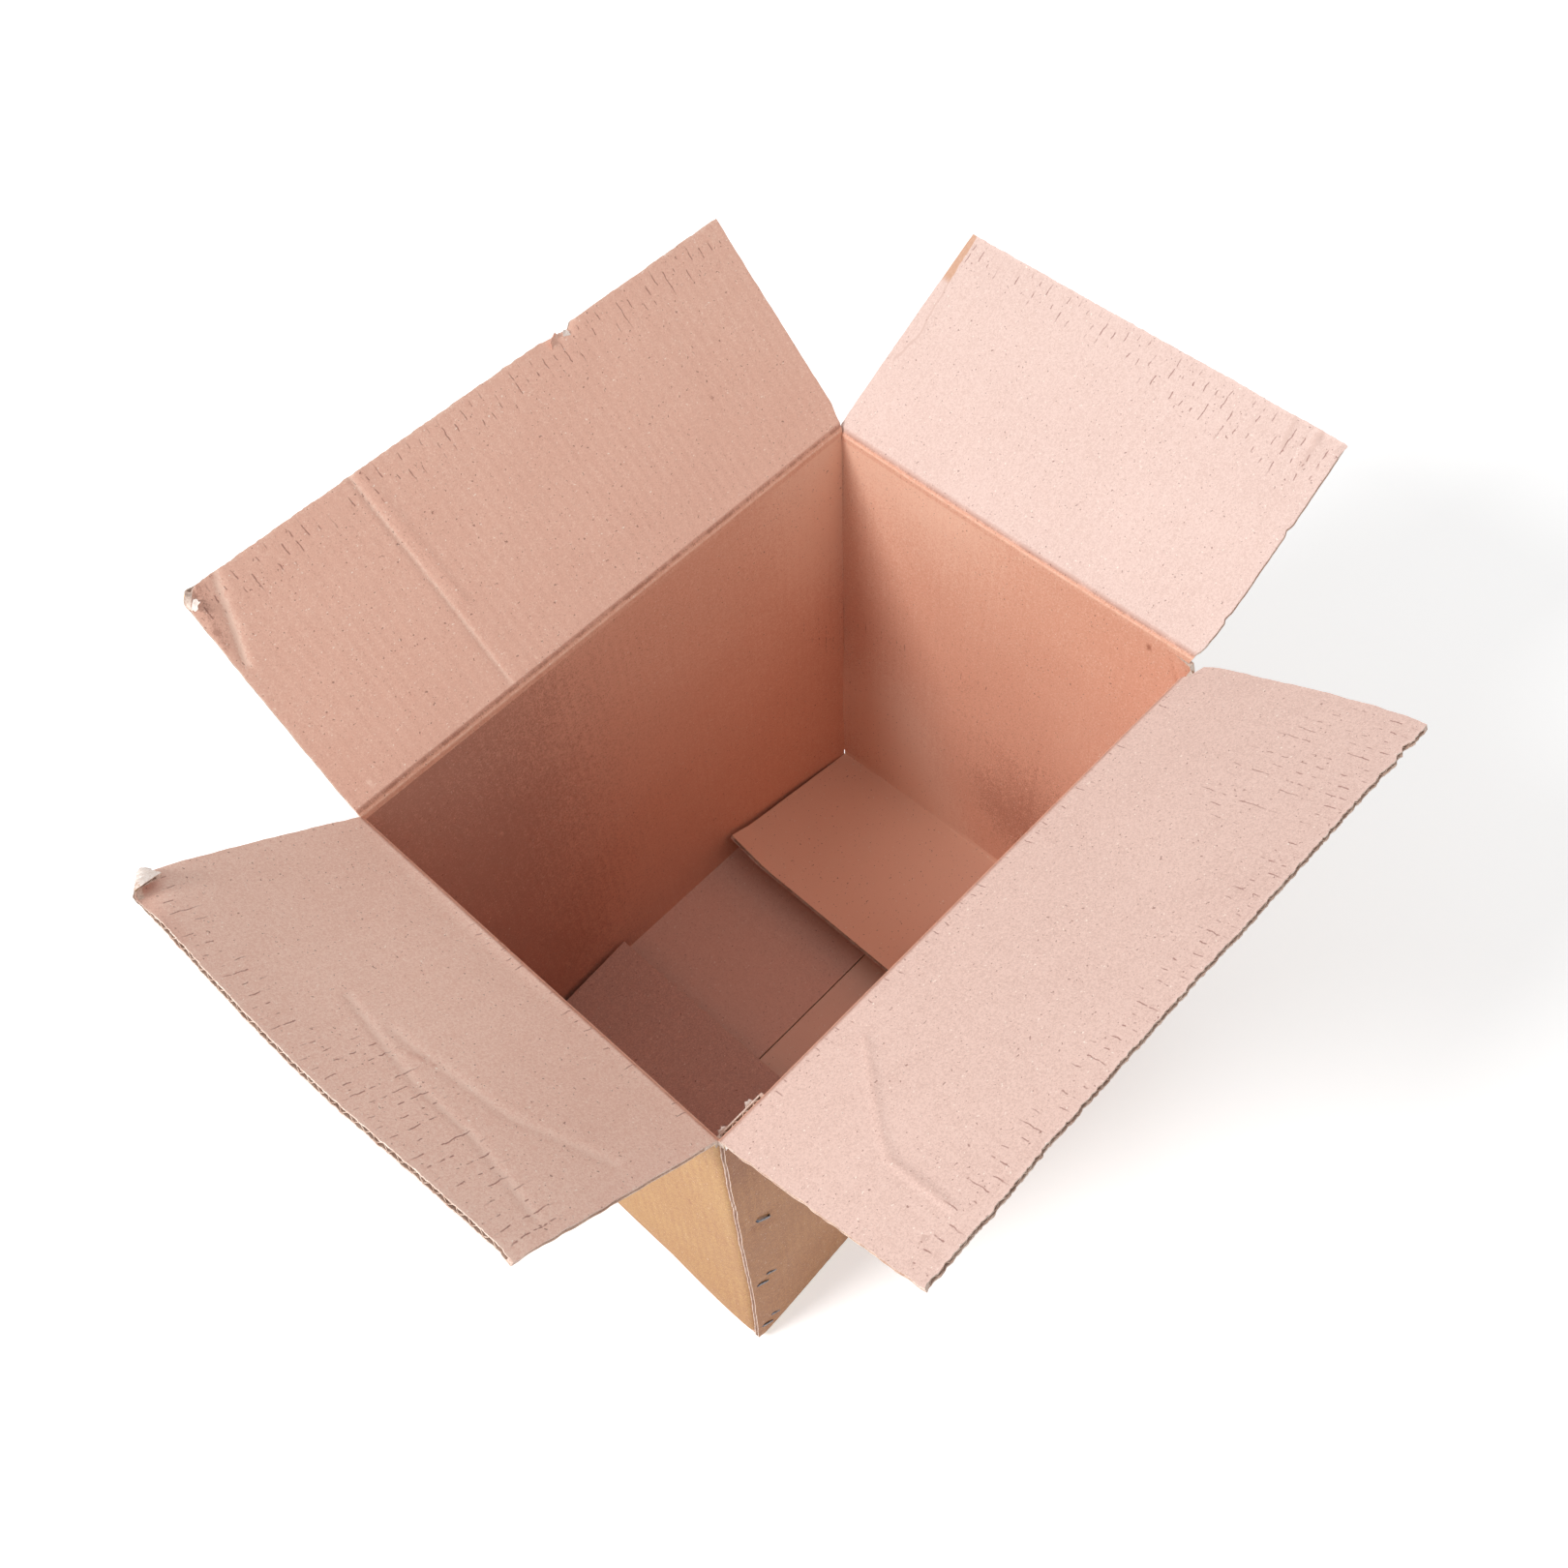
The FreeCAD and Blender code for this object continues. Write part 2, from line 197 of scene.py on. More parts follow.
class Wear:
    """Everything that shapes and marks one flat panel away from a plain rectangle."""

    def __init__(self, seed, far_v=None, half_u=None, bleach_and_shade=0.0, base_tone=0.0):
        self.seed = seed
        self.base_tone = base_tone
        self.outer_tone = 0.0
        self.flute_height = 0.012 * MM
        self.far_v = far_v
        self.half_u = half_u
        self.bleach_and_shade = bleach_and_shade
        self.creases = []
        self.tones = []
        self.painted_shade_bands = []
        self.torn = []
        self.joins = []
        self.outer_painted_shade = 0.0
        self.cracks = []
        self.corners = []
        self.crumples = []
        self.bulges = []
        self.pinches = []
        self.far_trim = None
        self.low_trim = None
        self.high_trim = None
        self.bare_liner = None
        self.crease_line = False
        self.waviness = 0.5 * MM
        self.ragged = 0.25 * MM

    def crease(self, points_mm, depth_mm, width_mm, tone=0.0):
        """A line pressed in (depth below 0) or raised towards the outer side."""
        self.creases.append((points_mm, depth_mm * MM, width_mm * MM))
        self.tones.append((points_mm, tone, 0.7 * width_mm * MM))

    def tone(self, points_mm, tone, width_mm):
        """A paler (above 0) or darker line."""
        self.tones.append((points_mm, tone, width_mm * MM))

    def fade(self, points_mm, amount, width_mm):
        """A band of painted shade colour, in which the inner liner is paler and greyer."""
        self.painted_shade_bands.append((points_mm, amount, width_mm * MM))

    def crack(self, points_mm, strength, width_mm):
        """A band in which the liner is cracked over the flutes."""
        self.cracks.append((points_mm, strength, width_mm * MM))

    def corner(self, place_mm, toward, turn_deg, radius_mm, thick_mm=BOARD / MM):
        """A corner that is bent over, inward for a turn above 0."""
        turn = math.radians(turn_deg)
        self.corners.append((place_mm, toward, turn, radius_mm * MM, thick_mm * MM))

    def crumple(self, place_mm, radius_mm, height_mm, size_mm):
        """A patch of many small ridges."""
        self.crumples.append((place_mm, radius_mm * MM, height_mm * MM, size_mm * MM))

    def bulge(self, place_mm, size_mm, height_mm):
        """A soft swelling towards the outside, or a dent for a height below 0."""
        self.bulges.append((place_mm, size_mm, height_mm * MM))

    def pinch(self, points_mm, share, width_mm):
        """A line along which the board is crushed thin."""
        self.pinches.append((points_mm, share, width_mm * MM))

    def relief(self, u, v):
        """Height towards the outer side that the whole board is moved by."""
        height = self.waviness * waves(self.seed, u, v, 85 * MM)
        height += 0.3 * self.waviness * waves(self.seed + 1, u, v, 28 * MM)
        height += 0.03 * MM * waves(self.seed + 2, u, v, 9 * MM)
        height = add_lines(height, self.creases, u, v)
        for (u0, v0), radius, peak, size in self.crumples:
            gap = np.hypot(u - u0 * MM, v - v0 * MM) / radius
            ridges = 1.0 - 2.0 * np.abs(waves(self.seed + 3, u, v, size))
            height += peak * ridges * smooth(1.0 - gap)
        for (u0, v0), (wide, high), peak in self.bulges:
            gap = np.hypot((u - u0 * MM) / (wide * MM), (v - v0 * MM) / (high * MM))
            height += peak * ridge(gap, 1.0)
        for join in self.joins:
            height *= smooth(np.abs(v - join) / CALM_REACH)
        return height

    def outline(self, u, v):
        """Move the panel's edges in to where they are torn, cut or frayed."""
        if self.far_trim is not None:
            trim = np.interp(u / MM, *zip(*self.far_trim)) * MM
            trim = trim + self.ragged * waves(self.seed + 4, u, u, 5 * MM)
            trim = trim + self.ragged * waves(self.seed + 5, u, u, 1.9 * MM)
            v = v - trim * smooth((v - self.far_v + EDGE_ZONE) / EDGE_ZONE)
        if self.half_u is None:
            return u, v
        for sign, trims in ((-1, self.low_trim), (1, self.high_trim)):
            trim = self.ragged * waves(self.seed + 6 + sign, v, v, 7 * MM)
            if trims is not None:
                trim = trim + np.interp(v / MM, *zip(*trims)) * MM
            u = u - sign * trim * smooth((sign * u - self.half_u + EDGE_ZONE) / EDGE_ZONE)
        return u, v

    def shade(self, u, v, w):
        """Paler above 0 and darker below."""
        tone = self.base_tone + self.outer_tone * (w > -BOARD / 2)
        if self.crease_line:
            tone = 0.2 + (tone - 0.2) * smooth((v + 0.6 * MM) / (1.2 * MM))
        tone = add_lines(tone, self.tones, u, v)
        # Painted shade: a dark line along the scored crease's groove, and a painted highlight on the pale
        # lip below it.
        if self.crease_line:
            broken = 0.75 + 0.45 * waves(self.seed + 9, u, u, 6 * MM)
            tone -= 0.62 * broken * ridge(v - 0.1 * MM, 0.55 * MM)
            tone += 0.30 * broken * ridge(v + 1.7 * MM, 0.8 * MM)
        if self.far_v is not None:
            rim = ridge(self.far_v - v, 1.1 * MM)
            tone += 0.16 * rim * (1 + waves(self.seed + 10, u, u, 4 * MM))
        return tone

    def bleach_and_shade_share(self, u, v, w):
        """From 0, fresh kraft, to 1: bleached kraft, and painted shade colour in painted shade bands and on
        the front wall's outer side.
        """
        amount = add_lines(np.full(len(u), self.bleach_and_shade), self.painted_shade_bands, u, v)
        if self.crease_line:
            amount *= smooth((v + 0.6 * MM) / (1.2 * MM))
        amount = np.where(w > -BOARD / 2, self.outer_painted_shade, amount)
        return np.clip(amount, 0.0, 1.0)

    def cracked(self, u, v):
        """How far the liner is cracked over the flutes, from 0 to 1."""
        amount = np.zeros(len(u))
        for points, strength, width in self.cracks:
            gap = distance_to_line(points, u, v)
            amount = np.maximum(amount, strength * smooth(1.6 - 1.2 * gap / width))
        return amount

    def bared(self, u, v):
        """1 where the inner liner has been torn away from the flutes."""
        if self.bare_liner is None:
            return np.zeros(len(u))
        inner_side, high_v = self.bare_liner
        edge = np.interp(v / MM, *zip(*inner_side)) * MM
        edge = edge + 0.5 * MM * waves(self.seed + 8, v, v, 4 * MM)
        return smooth((u - edge) / (0.5 * MM)) * smooth((v - high_v * MM) / (1.5 * MM))

    def apply(self, u, v, w):
        """Outline, relief, crushed lines, bared flutes and bent corners, on the flat panel."""
        bared = self.bared(u, v)
        w = np.where(w < -0.9 * BOARD, w + 0.4 * MM * bared, w)
        for points, share, width in self.pinches:
            gap = distance_to_line(points, u, v)
            w = w * (1.0 - share * ridge(gap, width))
        height = self.relief(u, v)
        u, v = self.outline(u, v)
        w = w + height
        for corner in self.corners:
            u, v, w = bend_corner(u, v, w, *corner)
        return u, v, w


# Materials.

def maths(tree, operation, a, b=None, clamp=False):
    """A Math node on sockets or numbers; returns its result."""
    made = tree.nodes.new("ShaderNodeMath")
    made.operation = operation
    made.use_clamp = clamp
    for slot, value in zip(made.inputs, (a, b)):
        if value is None:
            continue
        if isinstance(value, (int, float)):
            slot.default_value = value
        else:
            tree.links.new(value, slot)
    return made.outputs[0]


def ramp(tree, value, low, high):
    """0 below low and 1 above high, smoothly."""
    made = tree.nodes.new("ShaderNodeMapRange")
    made.interpolation_type = "SMOOTHSTEP"
    made.inputs["From Min"].default_value = low
    made.inputs["From Max"].default_value = high
    tree.links.new(value, made.inputs["Value"])
    return made.outputs["Result"]


def noise(tree, where, scale, detail=2.0, rough=0.5):
    """Noise at a place, between 0 and 1."""
    made = tree.nodes.new("ShaderNodeTexNoise")
    made.inputs["Scale"].default_value = scale
    made.inputs["Detail"].default_value = detail
    made.inputs["Roughness"].default_value = rough
    tree.links.new(where, made.inputs["Vector"])
    return made.outputs["Fac"]


def stretched(tree, where, scale):
    """A place with its axes scaled."""
    made = tree.nodes.new("ShaderNodeMapping")
    made.inputs["Scale"].default_value = scale
    tree.links.new(where, made.inputs["Vector"])
    return made.outputs["Vector"]


def blend_colour(tree, factor, a, b):
    """Mix two colours, each a socket or a colour."""
    made = tree.nodes.new("ShaderNodeMix")
    made.data_type = "RGBA"
    for name, value in (("Factor", factor), ("A", a), ("B", b)):
        slot = [s for s in made.inputs if s.name == name and s.enabled][0]
        if isinstance(value, (int, float, tuple)):
            slot.default_value = value
        else:
            tree.links.new(value, slot)
    return [s for s in made.outputs if s.enabled][0]


def srgb(red, green, blue):
    """A colour written in 0 to 255, as a linear one."""
    def linear(x):
        x /= 255.0
        return x / 12.92 if x <= 0.04045 else ((x + 0.055) / 1.055) ** 2.4
    return (linear(red), linear(green), linear(blue), 1.0)


def new_material(name, roughness, specular):
    """An empty Principled material; returns it, its tree and its shader."""
    material = bpy.data.materials.new(name)
    material.use_nodes = True
    tree = material.node_tree
    shader = tree.nodes["Principled BSDF"]
    shader.inputs["Roughness"].default_value = roughness
    shader.inputs["Specular IOR Level"].default_value = specular
    return material, tree, shader


def add_bump(tree, shader, height, strength, distance):
    """Fine relief from a texture value."""
    bump = tree.nodes.new("ShaderNodeBump")
    bump.inputs["Strength"].default_value = strength
    bump.inputs["Distance"].default_value = distance
    tree.links.new(height, bump.inputs["Height"])
    tree.links.new(bump.outputs["Normal"], shader.inputs["Normal"])


def object_place(tree):
    """Where a point lies on its piece, in metres."""
    return tree.nodes.new("ShaderNodeTexCoord").outputs["Object"]


def centred(tree, value, gain):
    """A texture value moved to about 0 and scaled."""
    return maths(tree, "MULTIPLY", maths(tree, "SUBTRACT", value, 0.5), gain)


def total(tree, values):
    """The sum of several sockets."""
    level = values[0]
    for value in values[1:]:
        level = maths(tree, "ADD", level, value)
    return level


def attribute(tree, name):
    """A number painted on the mesh."""
    made = tree.nodes.new("ShaderNodeAttribute")
    made.attribute_name = name
    return made.outputs["Fac"]


def liner_material(name, kraft, bleach_and_shade, flute_shade, speck_share):
    """Kraft liner: mottled fibre, specks, painted shade in stripes over the flutes, cracks and wear.

    kraft and bleach_and_shade are each a dark, a middle and a pale colour; the mesh says how far to go
    towards the second, bleached kraft and painted shade colour.
    """
    material, tree, shader = new_material(name, 0.60, 0.50)
    place = tree.nodes.new("ShaderNodeTexCoord")
    flat = place.outputs["UV"]
    solid = place.outputs["Object"]

    cloud = noise(tree, solid, 13.0, 3.0)
    mottle = noise(tree, solid, 130.0, 3.0, 0.6)
    fibre = noise(tree, stretched(tree, flat, (900.0, 420.0, 1.0)), 1.0, 3.0, 0.65)
    grain = noise(tree, solid, 1500.0, 1.0, 0.6)
    flecks = noise(tree, solid, 640.0, 1.0, 0.6)
    streak = noise(tree, stretched(tree, flat, (150.0, 5.0, 1.0)), 1.0, 2.0)

    across = tree.nodes.new("ShaderNodeSeparateXYZ")
    tree.links.new(flat, across.inputs[0])
    # Painted shade: darker and paler colour stripes one flute apart, for the shade that the flutes'
    # washboard throws.
    phase = maths(tree, "MULTIPLY", across.outputs["X"], 2 * math.pi / FLUTE)
    wave = maths(tree, "SINE", maths(tree, "ADD", phase, centred(tree, cloud, 2.0)))
    patchy = ramp(tree, noise(tree, stretched(tree, flat, (24.0, 9.0, 1.0)), 1.0, 2.0), 0.35, 0.7)
    flutes = maths(tree, "MULTIPLY", maths(tree, "MULTIPLY", wave, flute_shade), patchy)

    textures = ((cloud, 0.24), (mottle, 0.20), (fibre, 0.50), (grain, 0.90), (flecks, 0.60), (streak, 0.05))
    parts = [centred(tree, texture, gain) for texture, gain in textures]
    # The Shade attribute brings real marks and painted light and shade into the level.
    level = total(tree, [*parts, flutes, attribute(tree, "Shade")])
    level = maths(tree, "ADD", level, 0.5, clamp=True)
    lower = ramp(tree, level, 0.0, 0.5)
    upper = ramp(tree, level, 0.5, 1.0)
    tones = []
    for dark, middle, pale in (kraft, bleach_and_shade):
        shaded = blend_colour(tree, lower, srgb(*dark), srgb(*middle))
        tones.append(blend_colour(tree, upper, shaded, srgb(*pale)))
    colour = blend_colour(tree, attribute(tree, "BleachAndShade"), *tones)

    dark_specks = ramp(tree, noise(tree, solid, 520.0, 1.0), 0.70 - speck_share, 0.76 - speck_share)
    pale_specks = ramp(tree, noise(tree, stretched(tree, solid, (1.0, 1.3, 1.9)), 480.0, 1.0), 0.71, 0.77)
    marks = crack_marks(tree, across, flat)
    for spots, strength, tint in ((dark_specks, 0.6, (120, 70, 60)), (pale_specks, 0.6, (255, 242, 230)),
                                  (marks, 0.75, (132, 80, 72))):
        colour = blend_colour(tree, maths(tree, "MULTIPLY", spots, strength), colour, srgb(*tint))
    bare = blend_colour(tree, fibre, srgb(190, 140, 112), srgb(222, 182, 156))
    colour = blend_colour(tree, attribute(tree, "Bared"), colour, bare)
    tree.links.new(colour, shader.inputs["Base Color"])

    relief = total(tree, [fibre, grain, mottle, maths(tree, "MULTIPLY", marks, -1.5)])
    add_bump(tree, shader, relief, 0.4, 0.14 * MM)
    return material


def crack_marks(tree, across, flat):
    """Short thin slits, one flute apart, where the mesh says that the liner is cracked."""
    wobble = centred(tree, noise(tree, flat, 190.0, 2.0), 0.30)
    pitch = maths(tree, "ADD", maths(tree, "DIVIDE", across.outputs["X"], FLUTE), wobble)
    column = maths(tree, "FLOOR", pitch)
    aside = maths(tree, "ABSOLUTE", maths(tree, "SUBTRACT", maths(tree, "FRACT", pitch), 0.5))
    thin = maths(tree, "SUBTRACT", 1.0, ramp(tree, aside, 0.02, 0.07))
    along = tree.nodes.new("ShaderNodeCombineXYZ")
    tree.links.new(column, along.inputs["X"])
    tree.links.new(maths(tree, "MULTIPLY", across.outputs["Y"], 170.0), along.inputs["Y"])
    dashes = ramp(tree, noise(tree, along.outputs[0], 0.83, 1.0), 0.50, 0.57)
    patch = ramp(tree, noise(tree, flat, 22.0, 1.0), 0.28, 0.44)
    marks = maths(tree, "MULTIPLY", maths(tree, "MULTIPLY", thin, dashes), patch)
    return maths(tree, "MULTIPLY", marks, attribute(tree, "Cracked"))


def plain_paper(name, tone, dark):
    """Bare cut paper, for edges and the waved medium."""
    material, tree, shader = new_material(name, 0.85, 0.2)
    place = object_place(tree)
    fuzz = noise(tree, place, 900.0, 3.0, 0.7)
    stain = noise(tree, place, 120.0, 2.0)
    mix = maths(tree, "ADD", maths(tree, "MULTIPLY", fuzz, 0.7), maths(tree, "MULTIPLY", stain, 0.5))
    colour = blend_colour(tree, ramp(tree, mix, 0.35, 0.85), dark, tone)
    tree.links.new(colour, shader.inputs["Base Color"])
    add_bump(tree, shader, fuzz, 0.5, 0.15 * MM)
    return material


def wire_material():
    """Dull flat stitching wire with drawing lines."""
    material, tree, shader = new_material("stitch_wire", 0.36, 0.5)
    shader.inputs["Metallic"].default_value = 1.0
    place = object_place(tree)
    lines = noise(tree, stretched(tree, place, (300.0, 300.0, 2600.0)), 1.0, 3.0)
    tarnish = noise(tree, place, 380.0, 2.0)
    mix = maths(tree, "MULTIPLY", maths(tree, "ADD", lines, tarnish), 0.5)
    colour = blend_colour(tree, ramp(tree, mix, 0.4, 0.62), srgb(50, 49, 54), srgb(122, 124, 134))
    tree.links.new(colour, shader.inputs["Base Color"])
    return material


def tape_material():
    """Thin brown packing film with faint wrinkles."""
    material, tree, shader = new_material("packing_tape", 0.28, 0.5)
    place = object_place(tree)
    cloud = noise(tree, place, 60.0, 3.0)
    colour = blend_colour(tree, cloud, srgb(150, 108, 66), srgb(176, 132, 84))
    tree.links.new(colour, shader.inputs["Base Color"])
    wrinkles = noise(tree, stretched(tree, place, (9.0, 90.0, 1.0)), 1.0, 3.0)
    add_bump(tree, shader, wrinkles, 0.3, 0.2 * MM)
    return material


# Bleached inner kraft, also the painted shade colour of painted shade bands.
BLEACHED_AND_SHADED_KRAFT = ((214, 184, 173), (230, 203, 193), (241, 219, 210))
# Painted shade: browner outer kraft, for the front wall's outer side.
SHADED_OUTER_KRAFT = ((150, 94, 58), (187, 133, 86), (206, 158, 108))
INNER_LINER = liner_material(
    "inner_liner", ((180, 122, 99), (225, 168, 142), (240, 197, 173)), BLEACHED_AND_SHADED_KRAFT, 0.03, 0.0)
OUTER_LINER = liner_material(
    "outer_liner", ((160, 104, 62), (190, 147, 92), (210, 172, 114)), SHADED_OUTER_KRAFT, 0.05, -0.02)
CUT_EDGE = plain_paper("cut_edge", srgb(242, 228, 216), srgb(190, 152, 134))
MEDIUM = plain_paper("fluted_medium", srgb(236, 214, 198), srgb(188, 154, 136))
TORN_PAPER = plain_paper("torn_paper", srgb(242, 234, 228), srgb(208, 188, 176))
WIRE = wire_material()
TAPE = tape_material()
BOARD_MATERIALS = (INNER_LINER, OUTER_LINER, MEDIUM, CUT_EDGE, TORN_PAPER)
INNER, OUTER, WAVED, CUT, TORN = range(5)


# Modelling flat board.

def start_piece():
    """Nothing selected, in object mode."""
    bpy.ops.object.select_all(action="DESELECT")


def add_grid(name, columns, rows, size, place):
    """A flat grid of a size at a place."""
    start_piece()
    bpy.ops.mesh.primitive_grid_add(x_subdivisions=columns, y_subdivisions=rows, size=1.0, location=place)
    piece = bpy.context.active_object
    piece.name = name
    piece.data.name = name
    piece.scale = (*size, 1.0)
    bpy.ops.object.transform_apply(location=True, rotation=True, scale=True)
    return piece


def make_active(piece):
    """Select one piece and no other."""
    start_piece()
    piece.select_set(True)
    bpy.context.view_layer.objects.active = piece


def thicken(piece, thickness, offset):
    """Give a sheet its thickness."""
    skin = piece.modifiers.new("thickness", "SOLIDIFY")
    skin.thickness = thickness
    skin.offset = offset
    bpy.ops.object.modifier_apply(modifier=skin.name)


def read_points(group, field):
    """A place or direction of each vertex or face, one to a row."""
    values = np.empty(len(group) * 3)
    group.foreach_get(field, values)
    return values.reshape(-1, 3)


def select_faces(piece, test):
    """Select the faces whose centre and normal pass the test."""
    mesh = piece.data
    chosen = test(read_points(mesh.polygons, "center"), read_points(mesh.polygons, "normal"))
    mesh.vertices.foreach_set("select", np.zeros(len(mesh.vertices), bool))
    mesh.edges.foreach_set("select", np.zeros(len(mesh.edges), bool))
    mesh.polygons.foreach_set("select", chosen)


def open_rim(piece, test, inward):
    """Sink a rim between the two liners by the inward move."""
    select_faces(piece, test)
    bpy.context.tool_settings.mesh_select_mode = (False, False, True)
    bpy.ops.object.mode_set(mode="EDIT")
    bpy.ops.mesh.inset(thickness=LINER, use_boundary=True, use_even_offset=True)
    bpy.ops.mesh.extrude_region_move(TRANSFORM_OT_translate={"value": inward})
    bpy.ops.object.mode_set(mode="OBJECT")


def flat_board(name, u_span, v_span, row_step, fine_rows=(), fine_columns=()):
    """A closed slab of board, outer liner up, with columns that follow the flutes."""
    width = u_span[1] - u_span[0]
    depth = v_span[1] - v_span[0]
    columns = max(2, round(width / FLUTE * COLUMNS_PER_FLUTE))
    rows = max(2, round(depth / row_step))
    board = add_grid(name, columns, rows, (width, depth), (sum(u_span) / 2, sum(v_span) / 2, 0.0))
    bpy.ops.object.mode_set(mode="EDIT")
    cuts = [((0.0, v, 0.0), (0.0, 1.0, 0.0)) for v in fine_rows]
    cuts += [((u, 0.0, 0.0), (1.0, 0.0, 0.0)) for u in fine_columns]
    for place, across in cuts:
        bpy.ops.mesh.select_all(action="SELECT")
        bpy.ops.mesh.bisect(plane_co=place, plane_no=across)
    bpy.ops.object.mode_set(mode="OBJECT")
    thicken(board, BOARD, -1.0)
    return board


def flute_sheet(name, u_span, v_span):
    """The waved medium that shows in an edge cut across the flutes."""
    middle = (u_span[0] + FLUTE / 2, sum(v_span) / 2, -BOARD / 2)
    sheet = add_grid(name, 12, 3, (FLUTE, v_span[1] - v_span[0]), middle)
    rise = BOARD / 2 - LINER
    for vertex in sheet.data.vertices:
        vertex.co.z += rise * math.cos(2 * math.pi * vertex.co.x / FLUTE)
    row = sheet.modifiers.new("row", "ARRAY")
    row.count = int((u_span[1] - u_span[0]) / FLUTE)
    row.use_merge_vertices = True
    row.merge_threshold = 0.05 * MM
    bpy.ops.object.modifier_apply(modifier=row.name)
    thicken(sheet, 0.4 * MM, 0.0)
    return sheet


def colour_faces(board):
    """Give each face of a flat board its liner, cut edge or medium."""
    mesh = board.data
    for material in BOARD_MATERIALS:
        mesh.materials.append(material)
    centres = read_points(mesh.polygons, "center")
    normals = read_points(mesh.polygons, "normal")
    low = centres[:, :2].min(axis=0)
    high = centres[:, :2].max(axis=0)
    on_rim = ((centres[:, :2] < low + 0.02 * MM) | (centres[:, :2] > high - 0.02 * MM)).any(axis=1)
    index = np.full(len(centres), WAVED)
    index[np.abs(normals[:, 0]) > 0.5] = CUT
    index[(normals[:, 2] > 0.5) & (centres[:, 2] > -0.05 * MM)] = OUTER
    index[(normals[:, 2] < -0.5) & (centres[:, 2] < -BOARD + 0.05 * MM)] = INNER
    index[on_rim & (np.abs(normals[:, 2]) < 0.5)] = CUT
    mesh.polygons.foreach_set("material_index", index)


def tear_outer(board, wear):
    """Show torn paper on the outer side around each torn place."""
    for face in board.data.polygons:
        if face.material_index != OUTER:
            continue
        for (u, v), radius in wear.torn:
            if math.hypot(face.center.x - u * MM, face.center.y - v * MM) < radius * MM:
                face.material_index = TORN


def join_part(board, part, index):
    """Make a loose part, such as the waved medium, belong to its board."""
    for material in BOARD_MATERIALS:
        part.data.materials.append(material)
    part.data.polygons.foreach_set("material_index", np.full(len(part.data.polygons), index))
    make_active(board)
    part.select_set(True)
    bpy.ops.object.join()


def add_scrap(board, place_mm, toward, size_mm, curl_deg, seed, side=INNER, index=TORN):
    """A scrap of torn liner that curls up from its root towards a direction in u and v."""
    scrap = add_grid("scrap", 10, 14, (1.0, 1.0), (0.0, 0.0, 0.0))
    thicken(scrap, 0.1, 0.0)
    a, b, c = read_points(scrap.data.vertices, "co").T
    wide, long_way = np.array(size_mm) * MM
    b = b + 0.5
    taper = 1.0 - 0.5 * b ** 2 + 0.18 * waves(seed, b * 4, b * 4, 1.0)
    b = b * (1.0 - 0.22 * waves(seed + 1, a * 4, a * 4, 1.0))
    angle = math.radians(curl_deg) * b
    reach = long_way / math.radians(curl_deg)
    thick = c / 0.1 * 0.35 * MM
    ahead = np.sin(angle) * (reach - thick)
    lift = reach - np.cos(angle) * (reach - thick) + 0.25 * wide * np.abs(a) * b
    sideways = a * wide * taper
    n = np.array(toward) / math.hypot(*toward)
    u = place_mm[0] * MM + ahead * n[0] - sideways * n[1]
    v = place_mm[1] * MM + ahead * n[1] + sideways * n[0]
    w = -BOARD + 0.15 * MM - lift if side == INNER else lift - 0.15 * MM
    scrap.data.vertices.foreach_set("co", np.stack([u, v, w], axis=1).ravel())
    if side == INNER:
        scrap.data.flip_normals()
    join_part(board, scrap, index)


def finish_board(board, to_world, wear):
    """Write the flat layout as a UV map, then wear and fold the board into place."""
    mesh = board.data
    co = read_points(mesh.vertices, "co")
    for layer in list(mesh.uv_layers):
        mesh.uv_layers.remove(layer)
    layout = mesh.uv_layers.new(name="Board")
    loops = np.empty(len(mesh.loops), int)
    mesh.loops.foreach_get("vertex_index", loops)
    layout.data.foreach_set("uv", co[loops, :2].ravel())
    u, v, w = co.T
    painted = {
        "Shade": wear.shade(u, v, w),
        "Cracked": wear.cracked(u, v),
        "Bared": wear.bared(u, v),
        "BleachAndShade": wear.bleach_and_shade_share(u, v, w),
    }
    u, v, w = wear.apply(u, v, w + washboard(u, w, wear.flute_height))
    for title, values in painted.items():
        layer = mesh.attributes.new(title, "FLOAT", "POINT")
        layer.data.foreach_set("value", values.astype(np.float32))
    mesh.vertices.foreach_set("co", to_world(u, v, w).ravel())
    mesh.update()
    make_active(board)
    bpy.ops.object.shade_smooth_by_angle(angle=SMOOTH_ANGLE)


def ride_carton(piece, node):
    """Hand over a piece that moves with the carton."""
    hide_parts(node)
    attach(piece, "carton")


# Folding flat panels into place.

def crush(v, w):
    """The scored line at v 0, where the inner liner is pressed towards the outer one."""
    return w * (1.0 - 0.3 * ridge(v, 0.8 * MM))


def lid_fold(side, tilt_low, tilt_high):
    """Places a lid flap: v below 0 stays upright in the wall, and the rest tilts outward."""
    axes = side_axes(side)
    origin = crease_place(f"{side}_flap_crease")
    half = HALF_CREASE[side]

    def to_world(u, v, w):
        share = (u / half + 1.0) / 2.0
        tilt = np.radians(tilt_low + (tilt_high - tilt_low) * share)
        angle = tilt * smooth((v + 0.9 * MM) / (1.8 * MM))
        w = crush(v, w)
        up = v * np.cos(angle) - w * np.sin(angle)
        out = v * np.sin(angle) + w * np.cos(angle)
        placed = np.stack([u, up, out], axis=1) @ axes + origin
        return placed + pushed_out(side, u, np.minimum(v, 0.0))

    return to_world


